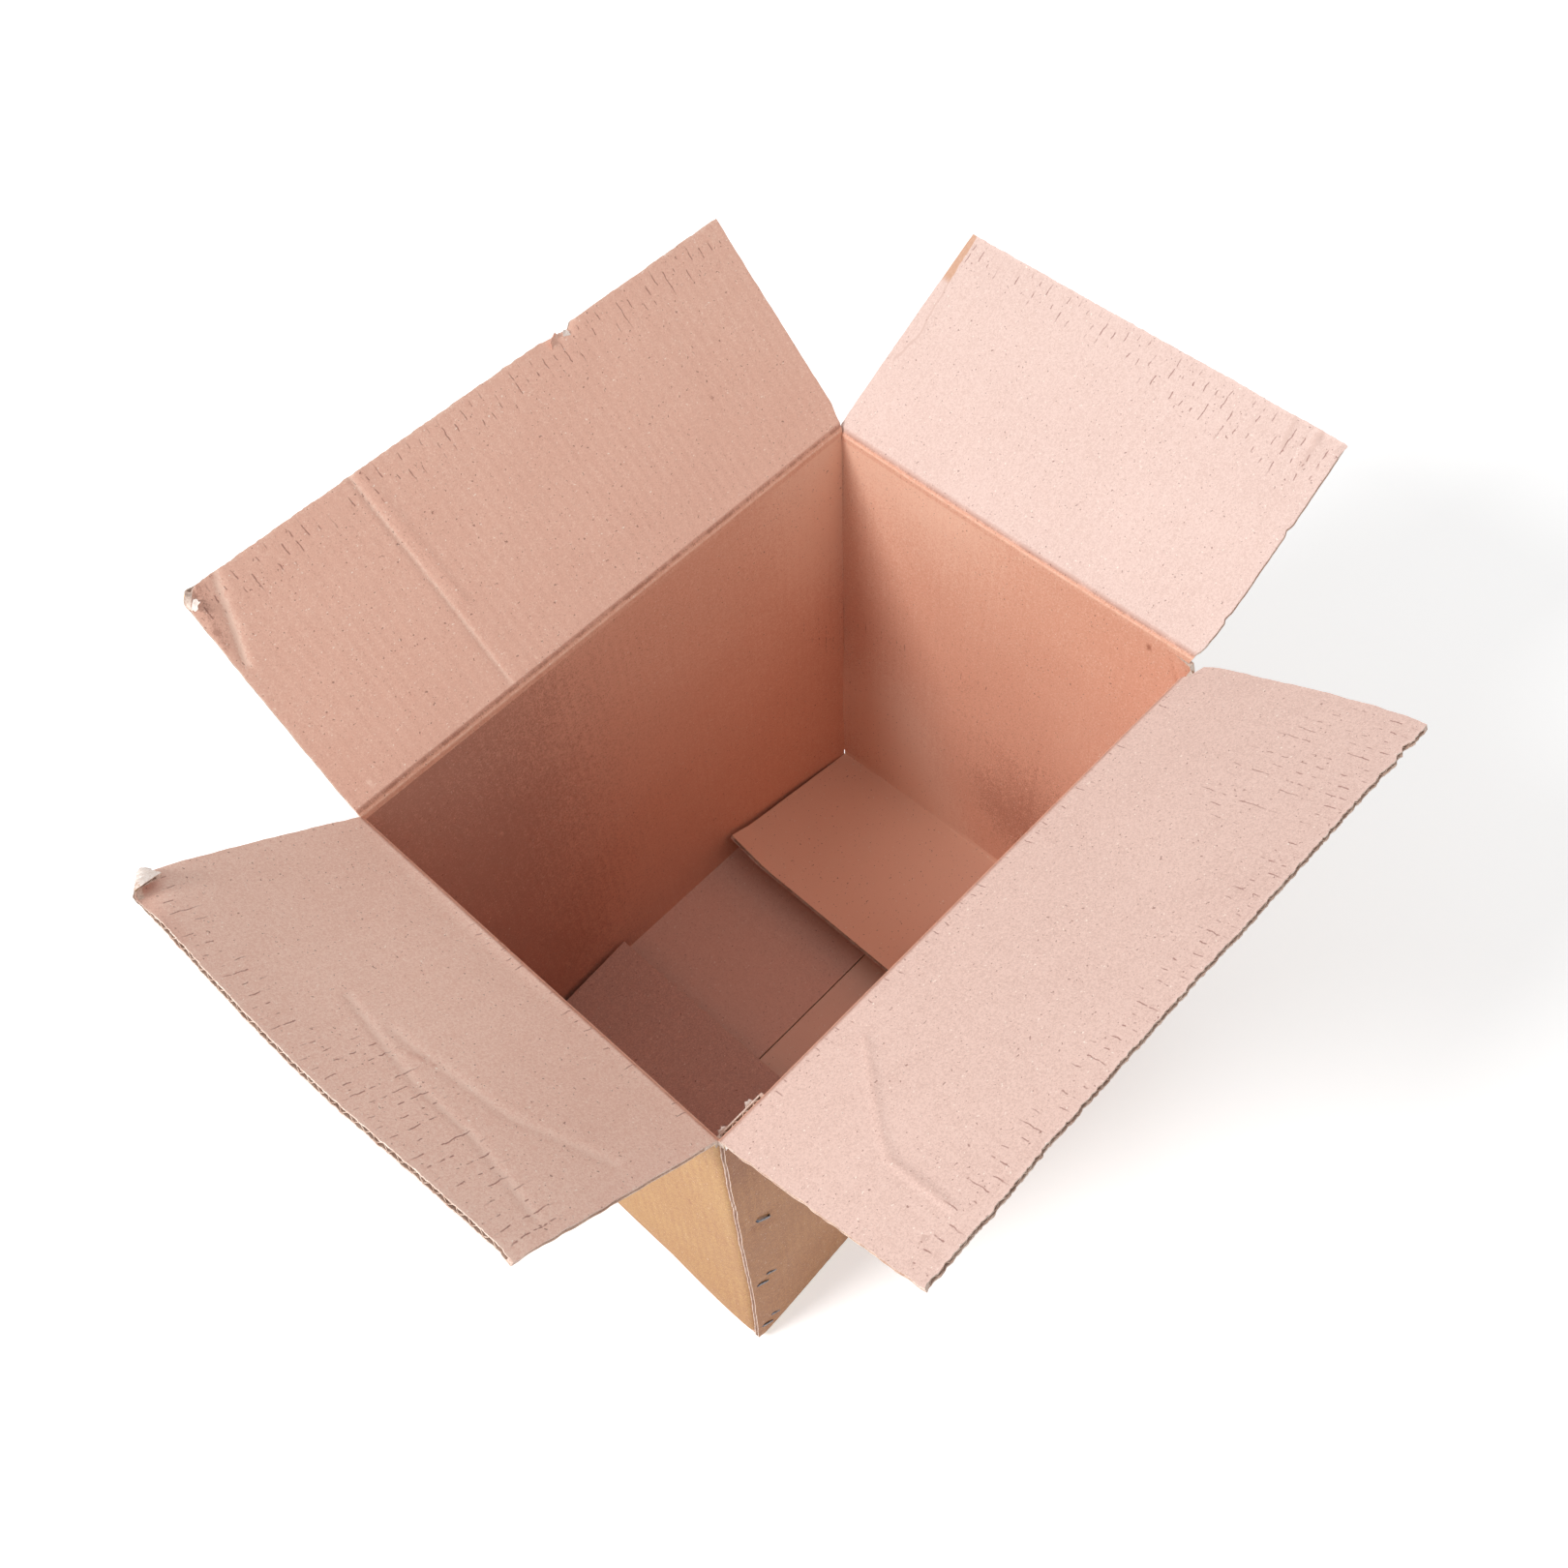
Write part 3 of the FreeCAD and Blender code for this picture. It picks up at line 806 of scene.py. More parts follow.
def wall_fold(side, fold_start, shift=None):
    """Places a wall: upright, with the corner fold at its high end."""
    axes = side_axes(side)
    origin = crease_place(f"{side}_flap_crease")

    def to_world(u, v, w):
        if shift is not None:
            w = w + shift(u, v)
        push = pushed_out(side, u, v)
        u, w = fold(u, w, fold_start, math.pi / 2)
        placed = soft_corner(np.stack([u, v, w], axis=1) @ axes + origin + push)
        return torn_corner(placed, TORN_CORNER.get(side, (0.0, 0.0, 0.0)))

    return to_world


def pushed_out(side, u, v):
    """The front end of the right wall's top, pushed outward, as a move in the frame."""
    move = np.array((4.6, 0.6, 0.0)) * MM
    if side == "right":
        along = np.clip((HALF_CREASE[side] - u) / (2 * HALF_CREASE[side]), 0.0, 1.05) ** 2
    elif side == "front":
        along = smooth((u - HALF_LENGTH + 42 * MM) / (42 * MM)) * (v < -CREASE_STRIP + 0.01 * MM)
    else:
        return np.zeros((len(u), 3))
    return (along * smooth(1.0 + v / (85 * MM)))[:, None] * move


def soft_corner(placed):
    """The bumped bottom corner at the joint."""
    corner = np.array((-HALF_LENGTH, -HALF_WIDTH, 0.0))
    gap = np.linalg.norm(placed - corner, axis=1)[:, None]
    swelling = smooth(1.0 - gap / (120 * MM)) * np.array((-4.8, -3.2, 0.0)) * MM
    bump = smooth(1.0 - gap / (9 * MM)) * np.array((0.4, 1.4, 3.6)) * MM
    return placed + swelling + bump


def torn_corner(placed, move_mm):
    """The top of the walls' front right corner, torn loose from the flaps and pressed in."""
    corner = np.array((HALF_LENGTH, -HALF_WIDTH, crease_place("front_flap_crease")[2]))
    gap = np.linalg.norm(placed - corner, axis=1)[:, None]
    return placed + smooth(1.0 - gap / (24 * MM)) * np.array(move_mm) * MM


def make_lid_flap(side, wear, tilt_low, tilt_high, scraps=(), fine_columns=()):
    """One lid flap with its crease strip, open flutes at the free edge."""
    half = HALF_CREASE[side]
    fine = [step * 0.5 * MM for step in range(-8, 9)]
    name = f"{side}_flap_board"
    wear.crease_line = True
    wear.joins = [-CREASE_STRIP]
    board = flat_board(name, (-half, half), (-CREASE_STRIP, FLAP_DEPTH), 2.5 * MM, fine, fine_columns)
    far = FLAP_DEPTH - 0.02 * MM
    open_rim(board, lambda c, n: (n[:, 1] > 0.9) & (c[:, 1] > far) & (np.abs(c[:, 0]) < half - EDGE_END),
             (0.0, -OPEN_EDGE, 0.0))
    side_zone = (8 * MM, FLAP_DEPTH - OPEN_EDGE - 3 * MM)
    for sign in (-1, 1):
        open_rim(board, lambda c, n: (sign * n[:, 0] > 0.9) & (c[:, 1] > side_zone[0])
                 & (c[:, 1] < side_zone[1]), (-sign * 0.8 * MM, 0.0, 0.0))
    colour_faces(board)
    tear_outer(board, wear)
    flutes = flute_sheet(name + "_flutes", (-half + EDGE_END + LINER, half - EDGE_END - LINER),
                         (FLAP_DEPTH - OPEN_EDGE + 0.2 * MM, FLAP_DEPTH - 0.35 * MM))
    join_part(board, flutes, WAVED)
    for scrap in scraps:
        add_scrap(board, *scrap)
    finish_board(board, lid_fold(side, tilt_low, tilt_high), wear)
    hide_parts(f"{side}_flap")
    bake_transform(board)


def make_wall(side, low_u, fold_start, foot, wear, shift=None, raw_low=False):
    """One wall with the fold that joins it to the next, from its foot to its crease strip."""
    axis_height = crease_place(f"{side}_flap_crease")[2]
    arc = (FOLD_RADIUS + BOARD / 2) * math.pi / 2
    board = flat_board(f"{side}_wall_board", (low_u, fold_start + arc),
                       (foot - axis_height, -CREASE_STRIP), 4.0 * MM)
    wear.joins = [-CREASE_STRIP, foot - axis_height]
    if raw_low:
        open_rim(board, lambda c, n: n[:, 0] < -0.9, (3.0 * MM, 0.0, 0.0))
    colour_faces(board)
    finish_board(board, wall_fold(side, fold_start, shift), wear)
    ride_carton(board, "carton")


def foot_bow(u, half, height):
    """How far a wall's foot bows out, most at mid length and none at the corners."""
    return height * (1.0 - np.clip(np.abs(u) / half, 0.0, 1.0) ** 3)


def bowed_wall(half, height):
    """A wall that bows out at its foot and is straight higher up."""
    def shift(u, v):
        return foot_bow(u, half, height) * smooth(1.0 - (v - v.min()) / BOW_HEIGHT)
    return shift


def plan_walls():
    """Four walls, each with its wear and painted light and shade; u and z say where the marks are."""
    long_start = HALF_LENGTH - BOARD - FOLD_RADIUS
    short_start = HALF_WIDTH - BOARD - FOLD_RADIUS
    joint_start = HALF_WIDTH - SHORT_FLOOR
    short_foot = SHORT_FLOOR + CREASE_STRIP
    long_top = crease_place("front_flap_crease")[2] / MM
    short_top = crease_place("left_flap_crease")[2] / MM

    front = Wear(11)
    # Painted shade on the outer side: darker and browner.
    front.outer_painted_shade = 1.0
    front.outer_tone = -0.22
    front.tone([(-205, -20), (-100, -60)], -0.16, 60.0)
    front.flute_height = 0.12 * MM
    front.waviness = 0.7 * MM
    for column, height in STITCH_PLACES:
        front.bulge((column - HALF_LENGTH / MM, height - long_top), (9.0, 8.0), -0.9)
        front.bulge((column - HALF_LENGTH / MM + 14, height - long_top + 3), (7.0, 20.0), 0.8)
    for column, height, size, peak in ((-181, 234, (6.0, 16.0), -0.9), (-196, 340, (7.0, 46.0), -1.6),
                                       (-183, 345, (6.0, 40.0), 1.0)):
        front.bulge((column, height - long_top), size, peak)
    bent_line = [(-202, 234 - long_top), (-192, 222 - long_top), (-182, 210 - long_top)]
    front.crease(bent_line, -0.6, 3.0, -0.1)
    front.tone([(-186.6, 357 - long_top), (-186.2, 357.6 - long_top)], -0.8, 1.0)
    front.low_trim = [(-400, 0.0), (-200, 0.4), (-120, 1.2), (-90, 0.2), (-20, 0.8), (0, 2.0)]
    front.half_u = HALF_LENGTH
    front.ragged = 0.4 * MM
    make_wall("front", -HALF_LENGTH + 0.6 * MM, long_start, BOARD, front, None, True)

    right = Wear(21, base_tone=0.12)
    right.flute_height = 0.008 * MM
    # Painted light and shade: paler at the top and low down towards the back, a little darker at mid
    # height, darker low towards the front.
    for line, depth, width in (([(140, -10), (60, -10)], 0.3, 60.0), ([(60, -170), (0, -170)], -0.12, 70.0),
                               ([(100, -300), (60, -380)], 0.5, 70.0),
                               ([(-40, -300), (-140, -320)], -0.5, 80.0)):
        right.tone(line, depth, width)
    bent_line = [(-125, 392 - short_top), (-138, 367 - short_top), (-141, 330 - short_top)]
    right.crease(bent_line, -0.8, 2.6, -0.2)
    right.crack([(137, 202 - short_top), (-40, 246 - short_top)], 0.7, 4.0)
    right.tone([(-113, 381 - short_top), (-112, 380.5 - short_top)], -1.0, 1.4)
    make_wall("right", -short_start, short_start, short_foot, right,
              bowed_wall(short_start, WALL_BOW))

    back = Wear(31, base_tone=0.12)
    # Painted shade towards the left end, darker and lower down paler and greyer; painted light at the right
    # end's top.
    back.tone([(160, -30), (170, -400)], -0.6, 130.0)
    back.fade([(160, -30), (170, -400), (60, -400)], 0.25, 110.0)
    back.tone([(-190, -10), (-196, -90)], 0.4, 60.0)
    back.waviness = 0.6 * MM
    back.crack([(-167, 227 - long_top), (-200, 170 - long_top)], 0.8, 10.0)
    back.bulge((130, 282 - long_top), (2.2, 2.6), 0.5)
    back.tone([(129, 283 - long_top), (131, 281 - long_top)], 0.3, 1.5)
    make_wall("back", -long_start, long_start, BOARD, back, bowed_wall(long_start, WALL_BOW))

    left = Wear(41, bleach_and_shade=0.15)
    left.outer_tone = -0.2
    left.flute_height = 0.006 * MM
    left.tone([(103, 214 - short_top), (104, 209 - short_top)], -0.5, 0.8)
    make_wall("left", -short_start, joint_start, short_foot, left, bowed_wall(short_start, WALL_BOW))


def make_joint_tab():
    """The tab of the left wall that lies inside the front wall."""
    top = crease_place("left_flap_crease")[2] - BOARD - LAYER_GAP
    bottom = SHORT_FLOOR + LAYER_GAP
    board = flat_board("joint_tab_board", (0.0, TAB_LENGTH), (bottom, top), 5.0 * MM)
    open_rim(board, lambda c, n: (n[:, 1] > 0.9) & (c[:, 0] > 1 * MM) & (c[:, 0] < TAB_LENGTH - MM),
             (0.0, -3 * OPEN_EDGE, 0.0))
    colour_faces(board)
    flutes = flute_sheet("joint_tab_flutes", (1.2 * MM, TAB_LENGTH - 1.2 * MM),
                         (top - OPEN_EDGE + 0.2 * MM, top - 0.3 * MM))
    join_part(board, flutes, WAVED)
    top_mm = top / MM
    for along, *shape in ((5.0, (-0.3, 1.0), (6, 2.6), 60, 41),
                          (14.0, (0.2, 1.0), (8, 2.2), 50, 44, OUTER),
                          (25.0, (0.1, 1.0), (6, 2.4), 70, 47)):
        add_scrap(board, (along, top_mm - 0.8), *shape)
    wear = Wear(51)
    wear.waviness = 0.15 * MM
    corner = np.array((-HALF_LENGTH + BOARD, -HALF_WIDTH + BOARD + LAYER_GAP, 0.0))

    def to_world(u, v, w):
        return soft_corner(np.stack([corner[0] + u, corner[1] - w, v], axis=1))

    finish_board(board, to_world, wear)
    ride_carton(board, "carton")


def make_floor(side, wear):
    """A long bottom flap with its fold, from the wall's foot to the seam."""
    axes = side_axes(side)
    half = HALF_CREASE[side]
    arc = (FOLD_RADIUS + BOARD / 2) * math.pi / 2
    length = HALF_WIDTH - BOARD - FOLD_RADIUS - SEAM
    fine = [step * 0.7 * MM for step in range(1, 6)]
    board = flat_board(f"{side}_floor_board", (-half, half), (0.0, arc + length), 5.0 * MM, fine)
    colour_faces(board)
    foot = np.array((0.0, 0.0, BOARD + FOLD_RADIUS))
    out = axes[2] * HALF_WIDTH
    bow = WALL_BOW if side == "back" else 0.0

    def to_world(u, v, w):
        down, outward = fold(v, w, 0.0, math.pi / 2)
        outward = outward + foot_bow(u, half, bow) * smooth(1.0 - v / length)
        placed = u[:, None] * axes[0] + outward[:, None] * axes[2] - down[:, None] * axes[1]
        placed = soft_corner(placed + foot + out)
        placed[:, 2] = np.clip(placed[:, 2], 0.0, None)
        return placed

    finish_board(board, to_world, wear)
    ride_carton(board, "carton")


def make_bottom_flap(side, high_u, lift_low, lift_high, wear):
    """A loose short flap on the floor, folded in from the wall's foot and lifted."""
    axes = side_axes(side)
    half = HALF_CREASE[side]
    low_u = -half
    wall_top = SHORT_FLOOR + FOLD_RADIUS
    lift_middle = math.radians((lift_low + lift_high) / 2)
    arc = (FOLD_RADIUS + BOARD / 2) * (math.pi / 2 + lift_middle)
    length = FLAP_DEPTH - BOARD - FOLD_RADIUS + arc
    strip = CREASE_STRIP - FOLD_RADIUS
    wear.joins = [-strip]
    fine = [step * 0.8 * MM for step in range(0, 6)]
    board = flat_board(f"{side}_bottom_board", (low_u, high_u), (-strip, length), 4.0 * MM, fine)
    open_rim(board, lambda c, n: (n[:, 1] > 0.9) & (c[:, 0] > low_u + EDGE_END)
             & (c[:, 0] < high_u - EDGE_END), (0.0, -OPEN_EDGE, 0.0))
    colour_faces(board)
    flutes = flute_sheet(f"{side}_bottom_flutes", (low_u + EDGE_END + LINER, high_u - EDGE_END - LINER),
                         (length - OPEN_EDGE + 0.2 * MM, length - 0.3 * MM))
    join_part(board, flutes, WAVED)
    origin = axes[2] * HALF_LENGTH + np.array((0.0, 0.0, wall_top))

    def to_world(u, v, w):
        share = (u - low_u) / (high_u - low_u)
        lift = np.radians(lift_low + (lift_high - lift_low) * share)
        turn = math.pi / 2 + lift_middle
        down, outward = fold(v, w, 0.0, turn)
        extra = (lift - lift_middle) * smooth(v / arc)
        rise = -down + np.clip(-outward - BOARD, 0.0, None) * np.sin(extra)
        outward = outward + foot_bow(u, half, WALL_BOW) * smooth(1.0 - v / length)
        return u[:, None] * axes[0] + outward[:, None] * axes[2] + rise[:, None] * axes[1] + origin

    finish_board(board, to_world, wear)
    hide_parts(f"{side}_bottom_flap")
    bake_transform(board)


def make_lid():
    """The four lid flaps with the wear that each one shows, and each flap's overall tone of painted light
    and shade.
    """
    def flap_wear(side, seed, bleach_and_shade, base_tone):
        wear = Wear(seed, FLAP_DEPTH, HALF_CREASE[side], bleach_and_shade, base_tone)
        wear.far_trim = [(-300, 0.3), (300, 0.3)]
        span = HALF_CREASE[side] / MM
        wear.crack([(-span, 137), (span, 137)], 0.9, 9.0)
        return wear

    # The base tone is painted shade: the front flap darker overall.
    front = flap_wear("front", 101, 0.84, -0.2)
    front.crease([(-119, 23), (-155, 68), (-167, 87), (-170, 131)], -0.8, 2.6, -0.16)
    front.crack([(-200, 5), (200, 5)], 0.8, 4.0)
    front.crack([(120, 90), (206, 120)], 0.8, 26.0)
    front.tone([(-188.9, 132.2), (-188.7, 132.4)], -1.5, 1.0)
    front.far_trim = [(-208, 0.4), (-150, 0.6), (-120, 1.9), (0, 1.9), (40, 0.9), (120, 0.6),
                      (165, 0.3), (176, -1.2), (180, 0.7), (183, -0.3), (186, 1.5), (190, 0.2),
                      (193, -0.9), (208, -1.2)]
    front.high_trim = [(-6, 17.0), (3, 18.0), (6, 6.5), (12, 3.6), (40, 1.4), (80, -0.8),
                       (118, -0.8), (124, -0.2), (140, 0.0), (150, 1.2)]
    front.low_trim = [(-10, -0.4), (20, -1.0), (150, -1.2)]
    front.ragged = 0.5 * MM
    scraps = [
        ((-196, 1.5), (0.1, -1.0), (22, 6.0), 70, 31, OUTER),
        ((-204, 3.0), (-0.8, -0.6), (6, 5.0), 50, 33, OUTER),
    ]
    make_lid_flap("front", front, 65.2, 65.3, scraps)

    # The base tone is painted light: the back flap a little paler overall.
    back = flap_wear("back", 102, 0.27, 0.06)
    back.flute_height = 0.035 * MM
    for line, depth, width, tone in (
            ([(91, 152), (88, 60), (87, 3)], 0.6, 1.8, 0.34),
            ([(84, 152), (80, 60)], -0.4, 3.0, -0.10),
            ([(184, 151), (190, 134), (202, 102)], 0.5, 2.4, 0.34),
            ([(188, 145), (195, 125), (203, 103)], 0.4, 1.8, 0.40),
            ([(197, 150), (206, 116)], -0.6, 4.4, -0.34)):
        back.crease(line, depth, width, tone)
    for spot, tone, width in (([(204.8, 124), (205, 124.5)], -0.8, 1.2),
                              ([(191.6, 8.6), (191.8, 8.7)], 0.8, 1.0),
                              ([(-135, 65), (-134.8, 65.2)], -1.2, 1.0)):
        back.tone(spot, tone, width)
    back.far_trim = [(-208, -1.9), (-82, -1.8), (-78, 0.9), (-70, 0.5), (-60, -0.4), (-56, -1.4),
                     (0, -1.8), (208, -1.9)]
    back.low_trim = [(-10, 1.8), (4, 1.4), (14, -0.9), (150, -1.0)]
    back.high_trim = [(-6, 0.0), (4, -0.6), (80, -1.2), (146, -0.8), (150, 0.2)]
    back.corner((203.5, 146), (1.0, 1.0), 140, 1.6)
    back.pinch([(-80, 152), (-57, 152)], 0.4, 5.0)
    scraps = [
        ((-66, 146.2), (0.55, 1.0), (12, 5.0), 70, 5, INNER, INNER),
        ((-74, 146.0), (-0.3, 1.0), (5, 4.0), 40, 9),
        ((205.5, 143), (1.0, 0.5), (7, 6.5), 150, 12),
    ]
    make_lid_flap("back", back, 46.4, 44.3, scraps)

    # The base tone is painted light: the left flap paler overall.
    left = flap_wear("left", 103, 0.42, 0.24)
    left.crease([(-30, 99), (36, 111), (78, 112), (134, 123)], 0.6, 1.8, 0.24)
    left.crease([(0, 95), (23, 94), (79, 87), (129, 63)], 0.5, 3.0, 0.16)
    left.crease([(18, 99), (34, 93)], -0.5, 1.2, -0.5)
    left.crack([(-40, 4), (145, 4)], 0.8, 4.0)
    left.crack([(10, 118), (145, 128)], 1.0, 16.0)
    left.far_trim = [(-146, -3.6), (-134, -2.4), (-100, -1.8), (40, -1.4), (110, 0.6), (146, 2.2)]
    left.low_trim = [(-10, 0.0), (10, -1.4), (60, -2.6), (120, -2.2), (150, -4.4)]
    left.bulge((-20, 150), (100, 120), 8.0)
    left.pinch([(-150, 133), (-125, 154)], 0.72, 9.0)
    left.corner((-140, 144.5), (-0.58, 0.82), 160, 0.4, 1.4)
    left.torn = [((-147, 152), 15.0)]
    left.tone([(-126, 148), (-100, 150)], -0.3, 6.0)
    # Painted shadow beside the curled lobe at the back corner.
    left.tone([(-140, 132), (-134, 140)], -0.4, 3.0)
    left.corner((140, 128), (0.85, 0.5), -14, 26.0)
    left.ragged = 0.35 * MM
    left.tone([(70, -1.4), (146, -1.4)], 0.6, 0.7)
    scraps = [((-144.5, 138.5), (-1.0, 0.6), (4, 4.5), 20, 24)]
    make_lid_flap("left", left, 53.7, 53.1, scraps)

    # The base tone is painted shade: the right flap darker overall.
    right = flap_wear("right", 104, 1.0, -0.22)
    right.far_trim = [(-146, 2.2), (-138, 1.0), (-100, 0.5), (-60, -0.4), (146, -0.7)]
    right.flute_height = 0.006 * MM
    right.bare_liner = ([(0, 140), (116, 139), (148.5, 141.5), (160, 142)], 116)
    right.tone([(139.5, 117), (139, 112), (137.6, 106), (138.2, 100), (137, 94), (136.6, 88), (135, 80),
                (135.6, 74), (137.4, 68), (138, 61), (140.5, 55)], -1.3, 0.42)
    right.crease([(138, 118), (136, 90), (134, 74), (140, 55)], -0.5, 2.2, 0.0)
    for line, depth, width, tone in (([(-110, 150), (-114, 128)], -0.5, 1.6, -0.3),
                                     ([(-124, 150), (-122, 118)], 0.6, 1.8, 0.14),
                                     ([(-129, 151), (-130, 124)], -0.6, 1.6, -0.34)):
        right.crease(line, depth, width, tone)
    right.crumple((-134, 144), 18.0, 0.7, 7.0)
    right.corner((-141, 147), (-1.0, 0.8), -50, 3.0)
    right.low_trim = [(-6, 4.0), (-1, 2.6), (2, 1.0), (6, 0.0), (24, -1.0), (27, 0.4), (31, -1.0),
                      (86, -0.9), (89, 0.5), (93, -0.9), (150, 0.2)]
    right.high_trim = [(-6, -2.0), (0, -3.8), (60, -2.6), (110, -1.2), (150, 0.4)]
    right.crack([(-20, 130), (-130, 124)], 0.9, 12.0)
    columns = [134 * MM + step * 0.45 * MM for step in range(0, 20)]
    make_lid_flap("right", right, 53.6, 57.0, (), columns)


def make_floor_flaps():
    """The two loose bottom flaps; the right one's back corner is curled up."""
    # The base tone is painted light: the right bottom flap much paler overall.
    right = Wear(71, base_tone=0.9)
    right.ragged = 0.3 * MM
    right.corner((128, 128), (0.7, 1.0), 16, 40.0)
    make_bottom_flap("right", HALF_CREASE["right"], 8.9, 11.4, right)
    # The base tone is painted shade: the left bottom flap darker overall.
    left = Wear(72, bleach_and_shade=0.5, base_tone=-0.3)
    make_bottom_flap("left", HALF_WIDTH - SHORT_FLOOR - 1.6 * MM, 7.9, 7.6, left)


# Wire stitches and tape.

def make_stitch(name):
    """A flat wire staple through wall and tab, in place of its plain node."""
    low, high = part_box(name)
    crown = 17.0 * MM
    wire = 0.7 * MM
    half_wide = 1.0 * MM
    through = 8.4 * MM
    clinch = 6.0 * MM
    middle = np.array([((low[0] + high[0]) / 2, -HALF_WIDTH, (low[2] + high[2]) / 2)])
    middle = Vector(soft_corner(middle)[0])
    bend = 0.9 * MM
    inner = crown / 2 - wire / 2
    path = [(-inner + clinch, -through - wire / 2), (-inner + bend, -through - wire / 2),
            (-inner, -through + bend), (-inner, -bend), (-inner + bend, wire / 2)]
    path += [(-x, y) for x, y in reversed(path)]
    curve = bpy.data.curves.new(name + "_wire", "CURVE")
    curve.dimensions = "2D"
    curve.fill_mode = "NONE"
    curve.extrude = half_wide - 0.3 * MM
    curve.bevel_depth = wire / 2
    curve.bevel_resolution = 2
    line = curve.splines.new("POLY")
    line.points.add(len(path) - 1)
    for point, (x, y) in zip(line.points, path):
        point.co = (x, y, 0.0, 1.0)
    wire_piece = bpy.data.objects.new(name + "_wire", curve)
    bpy.context.collection.objects.link(wire_piece)
    make_active(wire_piece)
    bpy.ops.object.convert(target="MESH")
    upright = Matrix.Rotation(math.pi / 2, 4, "X")
    slant = Matrix.Rotation(math.radians(-52.0), 4, "Z")
    wire_piece.data.transform(Matrix.Translation(middle) @ (upright @ slant) @ upright)
    wire_piece.data.materials.append(WIRE)
    bpy.ops.object.shade_smooth_by_angle(angle=math.radians(40))
    ride_carton(wire_piece, name)


def make_tape():
    """The tape strip under the bottom seam."""
    low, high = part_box("bottom_tape")
    size = (high[0] - low[0], high[1] - low[1])
    tape = add_grid("bottom_tape_film", 160, 16, size, (0.0, 0.0, high[2]))
    for vertex in tape.data.vertices:
        end = smooth(np.array((abs(vertex.co.x) - high[0] + 4 * MM) / (4 * MM)))
        teeth = 0.5 * MM * (1 if round(vertex.co.y / (3 * MM)) % 2 else -1)
        vertex.co.x += float(end) * teeth
    thicken(tape, high[2] - low[2], -1.0)
    tape.data.materials.append(TAPE)
    ride_carton(tape, "bottom_tape")


# Stage.

def make_stage():
    """A pale floor and soft lights."""
    start_piece()
    bpy.ops.mesh.primitive_plane_add(size=12.0, location=(0.0, 0.0, -0.0003))
    floor = bpy.context.active_object
    floor.name = "stage_floor"
    pale, tree, shader = new_material("stage_floor", 0.9, 0.1)
    shader.inputs["Base Color"].default_value = (0.92, 0.92, 0.92, 1.0)
    shader.inputs["Emission Color"].default_value = WHITE
    tree.links.new(maths(tree, "MULTIPLY", seen_directly(tree), 0.35), shader.inputs["Emission Strength"])
    floor.data.materials.append(pale)
    light_world()
    softbox("key", (-2.8, 0.9, 2.8), 1.2, 106.0)


def seen_directly(tree):
    """1 for what the camera sees, also in metal or through glass."""
    ray = tree.nodes.new("ShaderNodeLightPath")
    either = maths(tree, "MAXIMUM", ray.outputs["Is Camera Ray"], ray.outputs["Is Transmission Ray"])
    return maths(tree, "MAXIMUM", either, ray.outputs["Is Glossy Ray"])


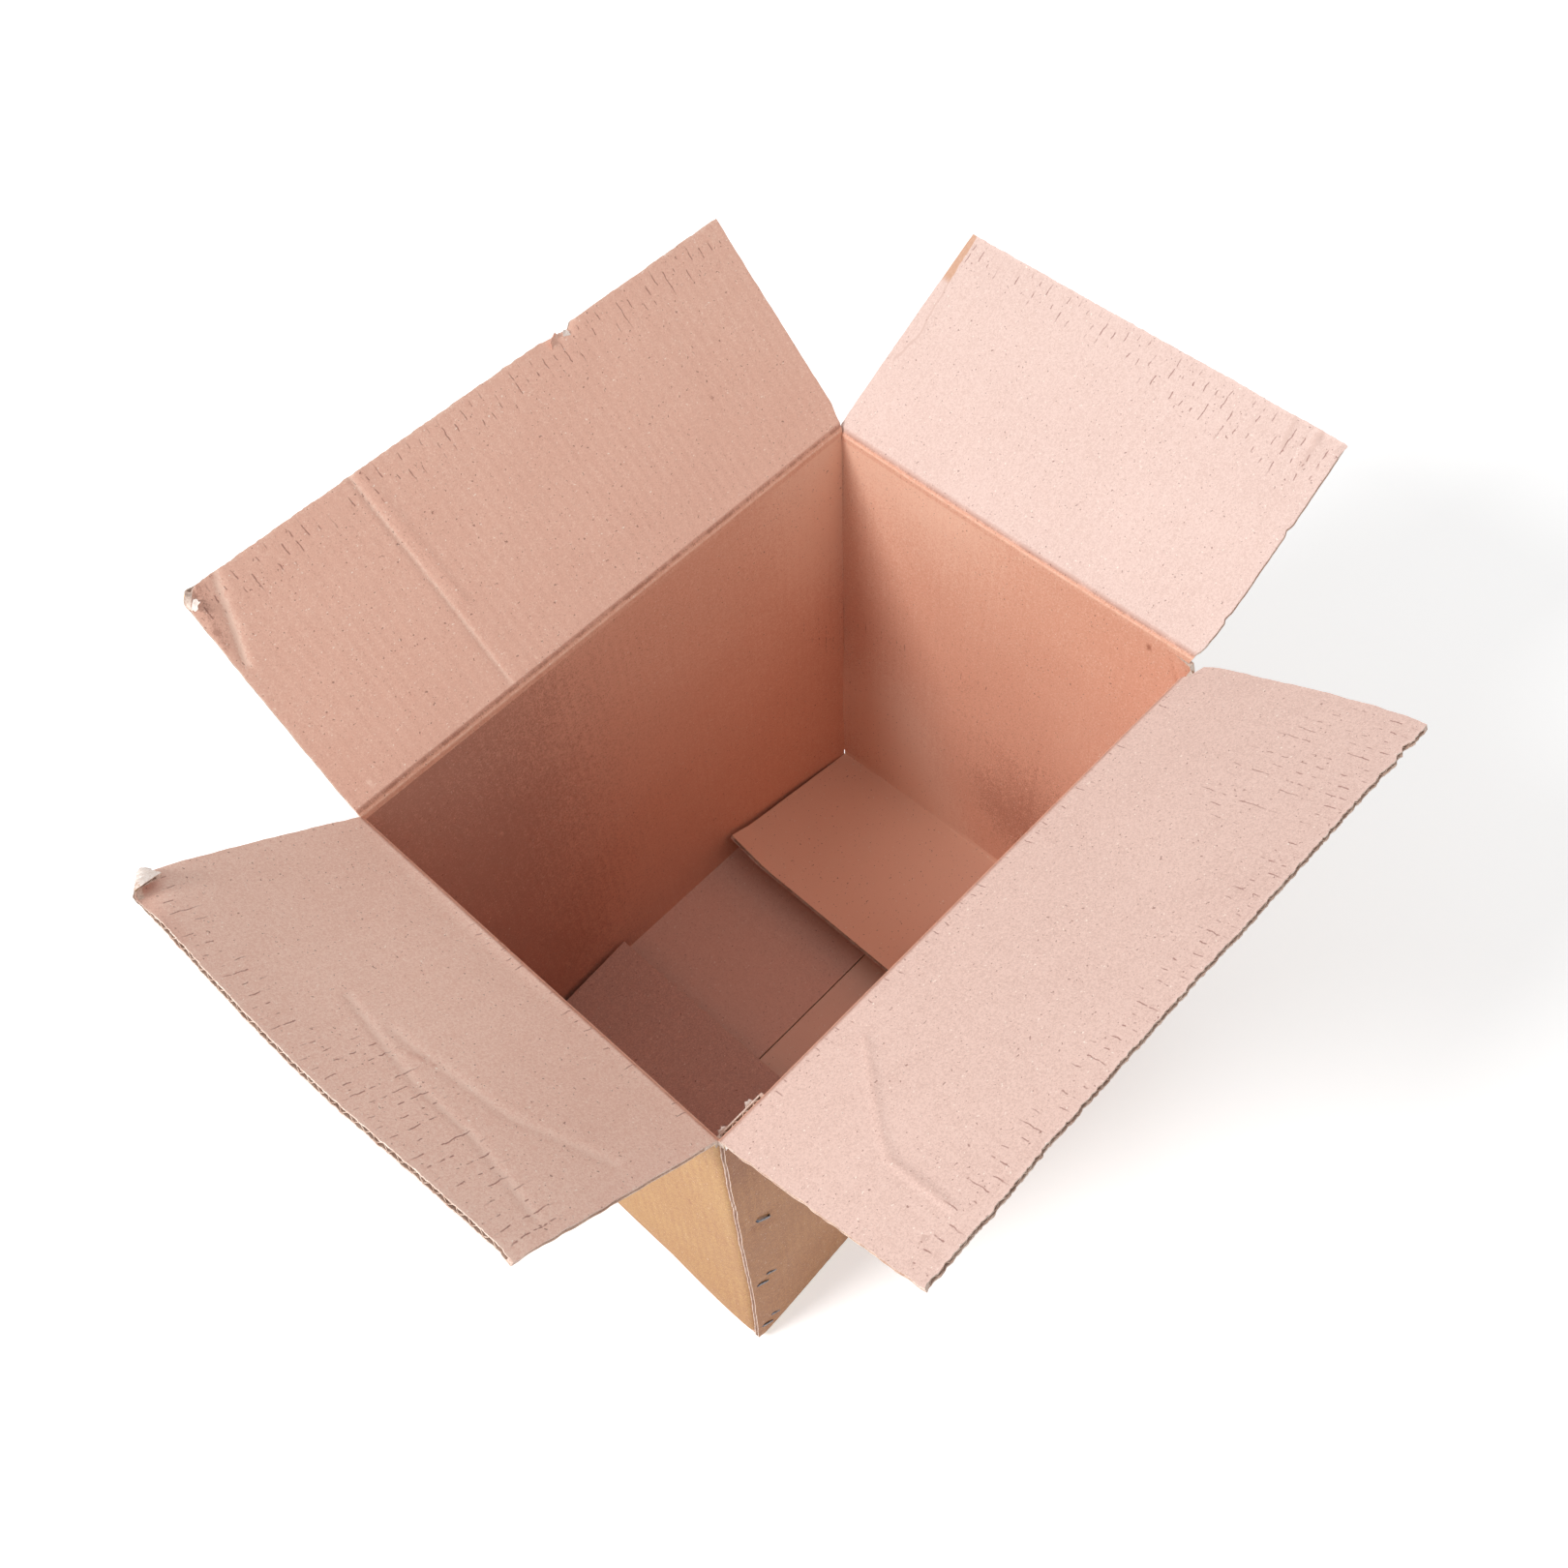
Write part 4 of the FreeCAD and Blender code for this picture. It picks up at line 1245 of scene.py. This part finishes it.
def light_world():
    """An even sky that is a little weaker overhead, and white where it is seen."""
    world = bpy.data.worlds.new("studio")
    bpy.context.scene.world = world
    world.use_nodes = True
    tree = world.node_tree
    sky = tree.nodes["Background"]
    sky.inputs["Color"].default_value = WHITE
    place = tree.nodes.new("ShaderNodeTexCoord")
    parts = tree.nodes.new("ShaderNodeSeparateXYZ")
    tree.links.new(place.outputs["Generated"], parts.inputs[0])
    fall = tree.nodes.new("ShaderNodeMapRange")
    fall.inputs["From Min"].default_value = 0.0
    fall.inputs["From Max"].default_value = 1.0
    fall.inputs["To Min"].default_value = 0.78
    fall.inputs["To Max"].default_value = 0.55
    tree.links.new(parts.outputs["Z"], fall.inputs["Value"])
    tree.links.new(fall.outputs["Result"], sky.inputs["Strength"])
    seen = tree.nodes.new("ShaderNodeBackground")
    seen.inputs["Color"].default_value = WHITE
    choose = tree.nodes.new("ShaderNodeMixShader")
    tree.links.new(seen_directly(tree), choose.inputs["Fac"])
    tree.links.new(sky.outputs["Background"], choose.inputs[1])
    tree.links.new(seen.outputs["Background"], choose.inputs[2])
    tree.links.new(choose.outputs["Shader"], tree.nodes["World Output"].inputs["Surface"])


def softbox(name, place, size, power):
    """A round area lamp that faces the carton."""
    light = bpy.data.lights.new(name, "AREA")
    light.shape = "DISK"
    light.size = size
    light.energy = power
    lamp = bpy.data.objects.new(name, light)
    lamp.location = place
    aim = Vector((0.0, 0.0, 0.35)) - Vector(place)
    lamp.rotation_euler = aim.to_track_quat("-Z", "Y").to_euler()
    bpy.context.collection.objects.link(lamp)


def make_camera():
    """The photograph's viewpoint, from a fit of the carton's corners."""
    azimuth = math.radians(-46.10)
    elevation = math.radians(60.15)
    roll = math.radians(-1.44)
    look = Vector((-math.sin(azimuth) * math.cos(elevation),
                   math.cos(azimuth) * math.cos(elevation), -math.sin(elevation)))
    level = Vector((math.cos(azimuth), math.sin(azimuth), 0.0))
    upright = level.cross(look)
    right = math.cos(roll) * level + math.sin(roll) * upright
    up = -math.sin(roll) * level + math.cos(roll) * upright
    data = bpy.data.cameras.new("camera")
    data.sensor_width = 36.0
    data.lens = 36.08
    data.shift_x = -0.0294
    data.shift_y = 0.0516
    camera = bpy.data.objects.new("camera", data)
    turn = Matrix((right, up, -look)).transposed().to_4x4()
    camera.matrix_world = Matrix.Translation((-0.3687, -0.3858, 1.1734)) @ turn
    bpy.context.collection.objects.link(camera)
    bpy.context.scene.camera = camera
    bpy.context.scene.view_settings.view_transform = "Standard"


make_stage()
make_camera()
make_lid()
plan_walls()
make_joint_tab()
# The base tone is painted light: the front floor paler overall.
make_floor("front", Wear(61, bleach_and_shade=0.25, base_tone=0.6))
make_floor("back", Wear(62, bleach_and_shade=0.5))
make_floor_flaps()
for name in frame["nodes"]:
    if name.startswith("stitch"):
        make_stitch(name)
make_tape()
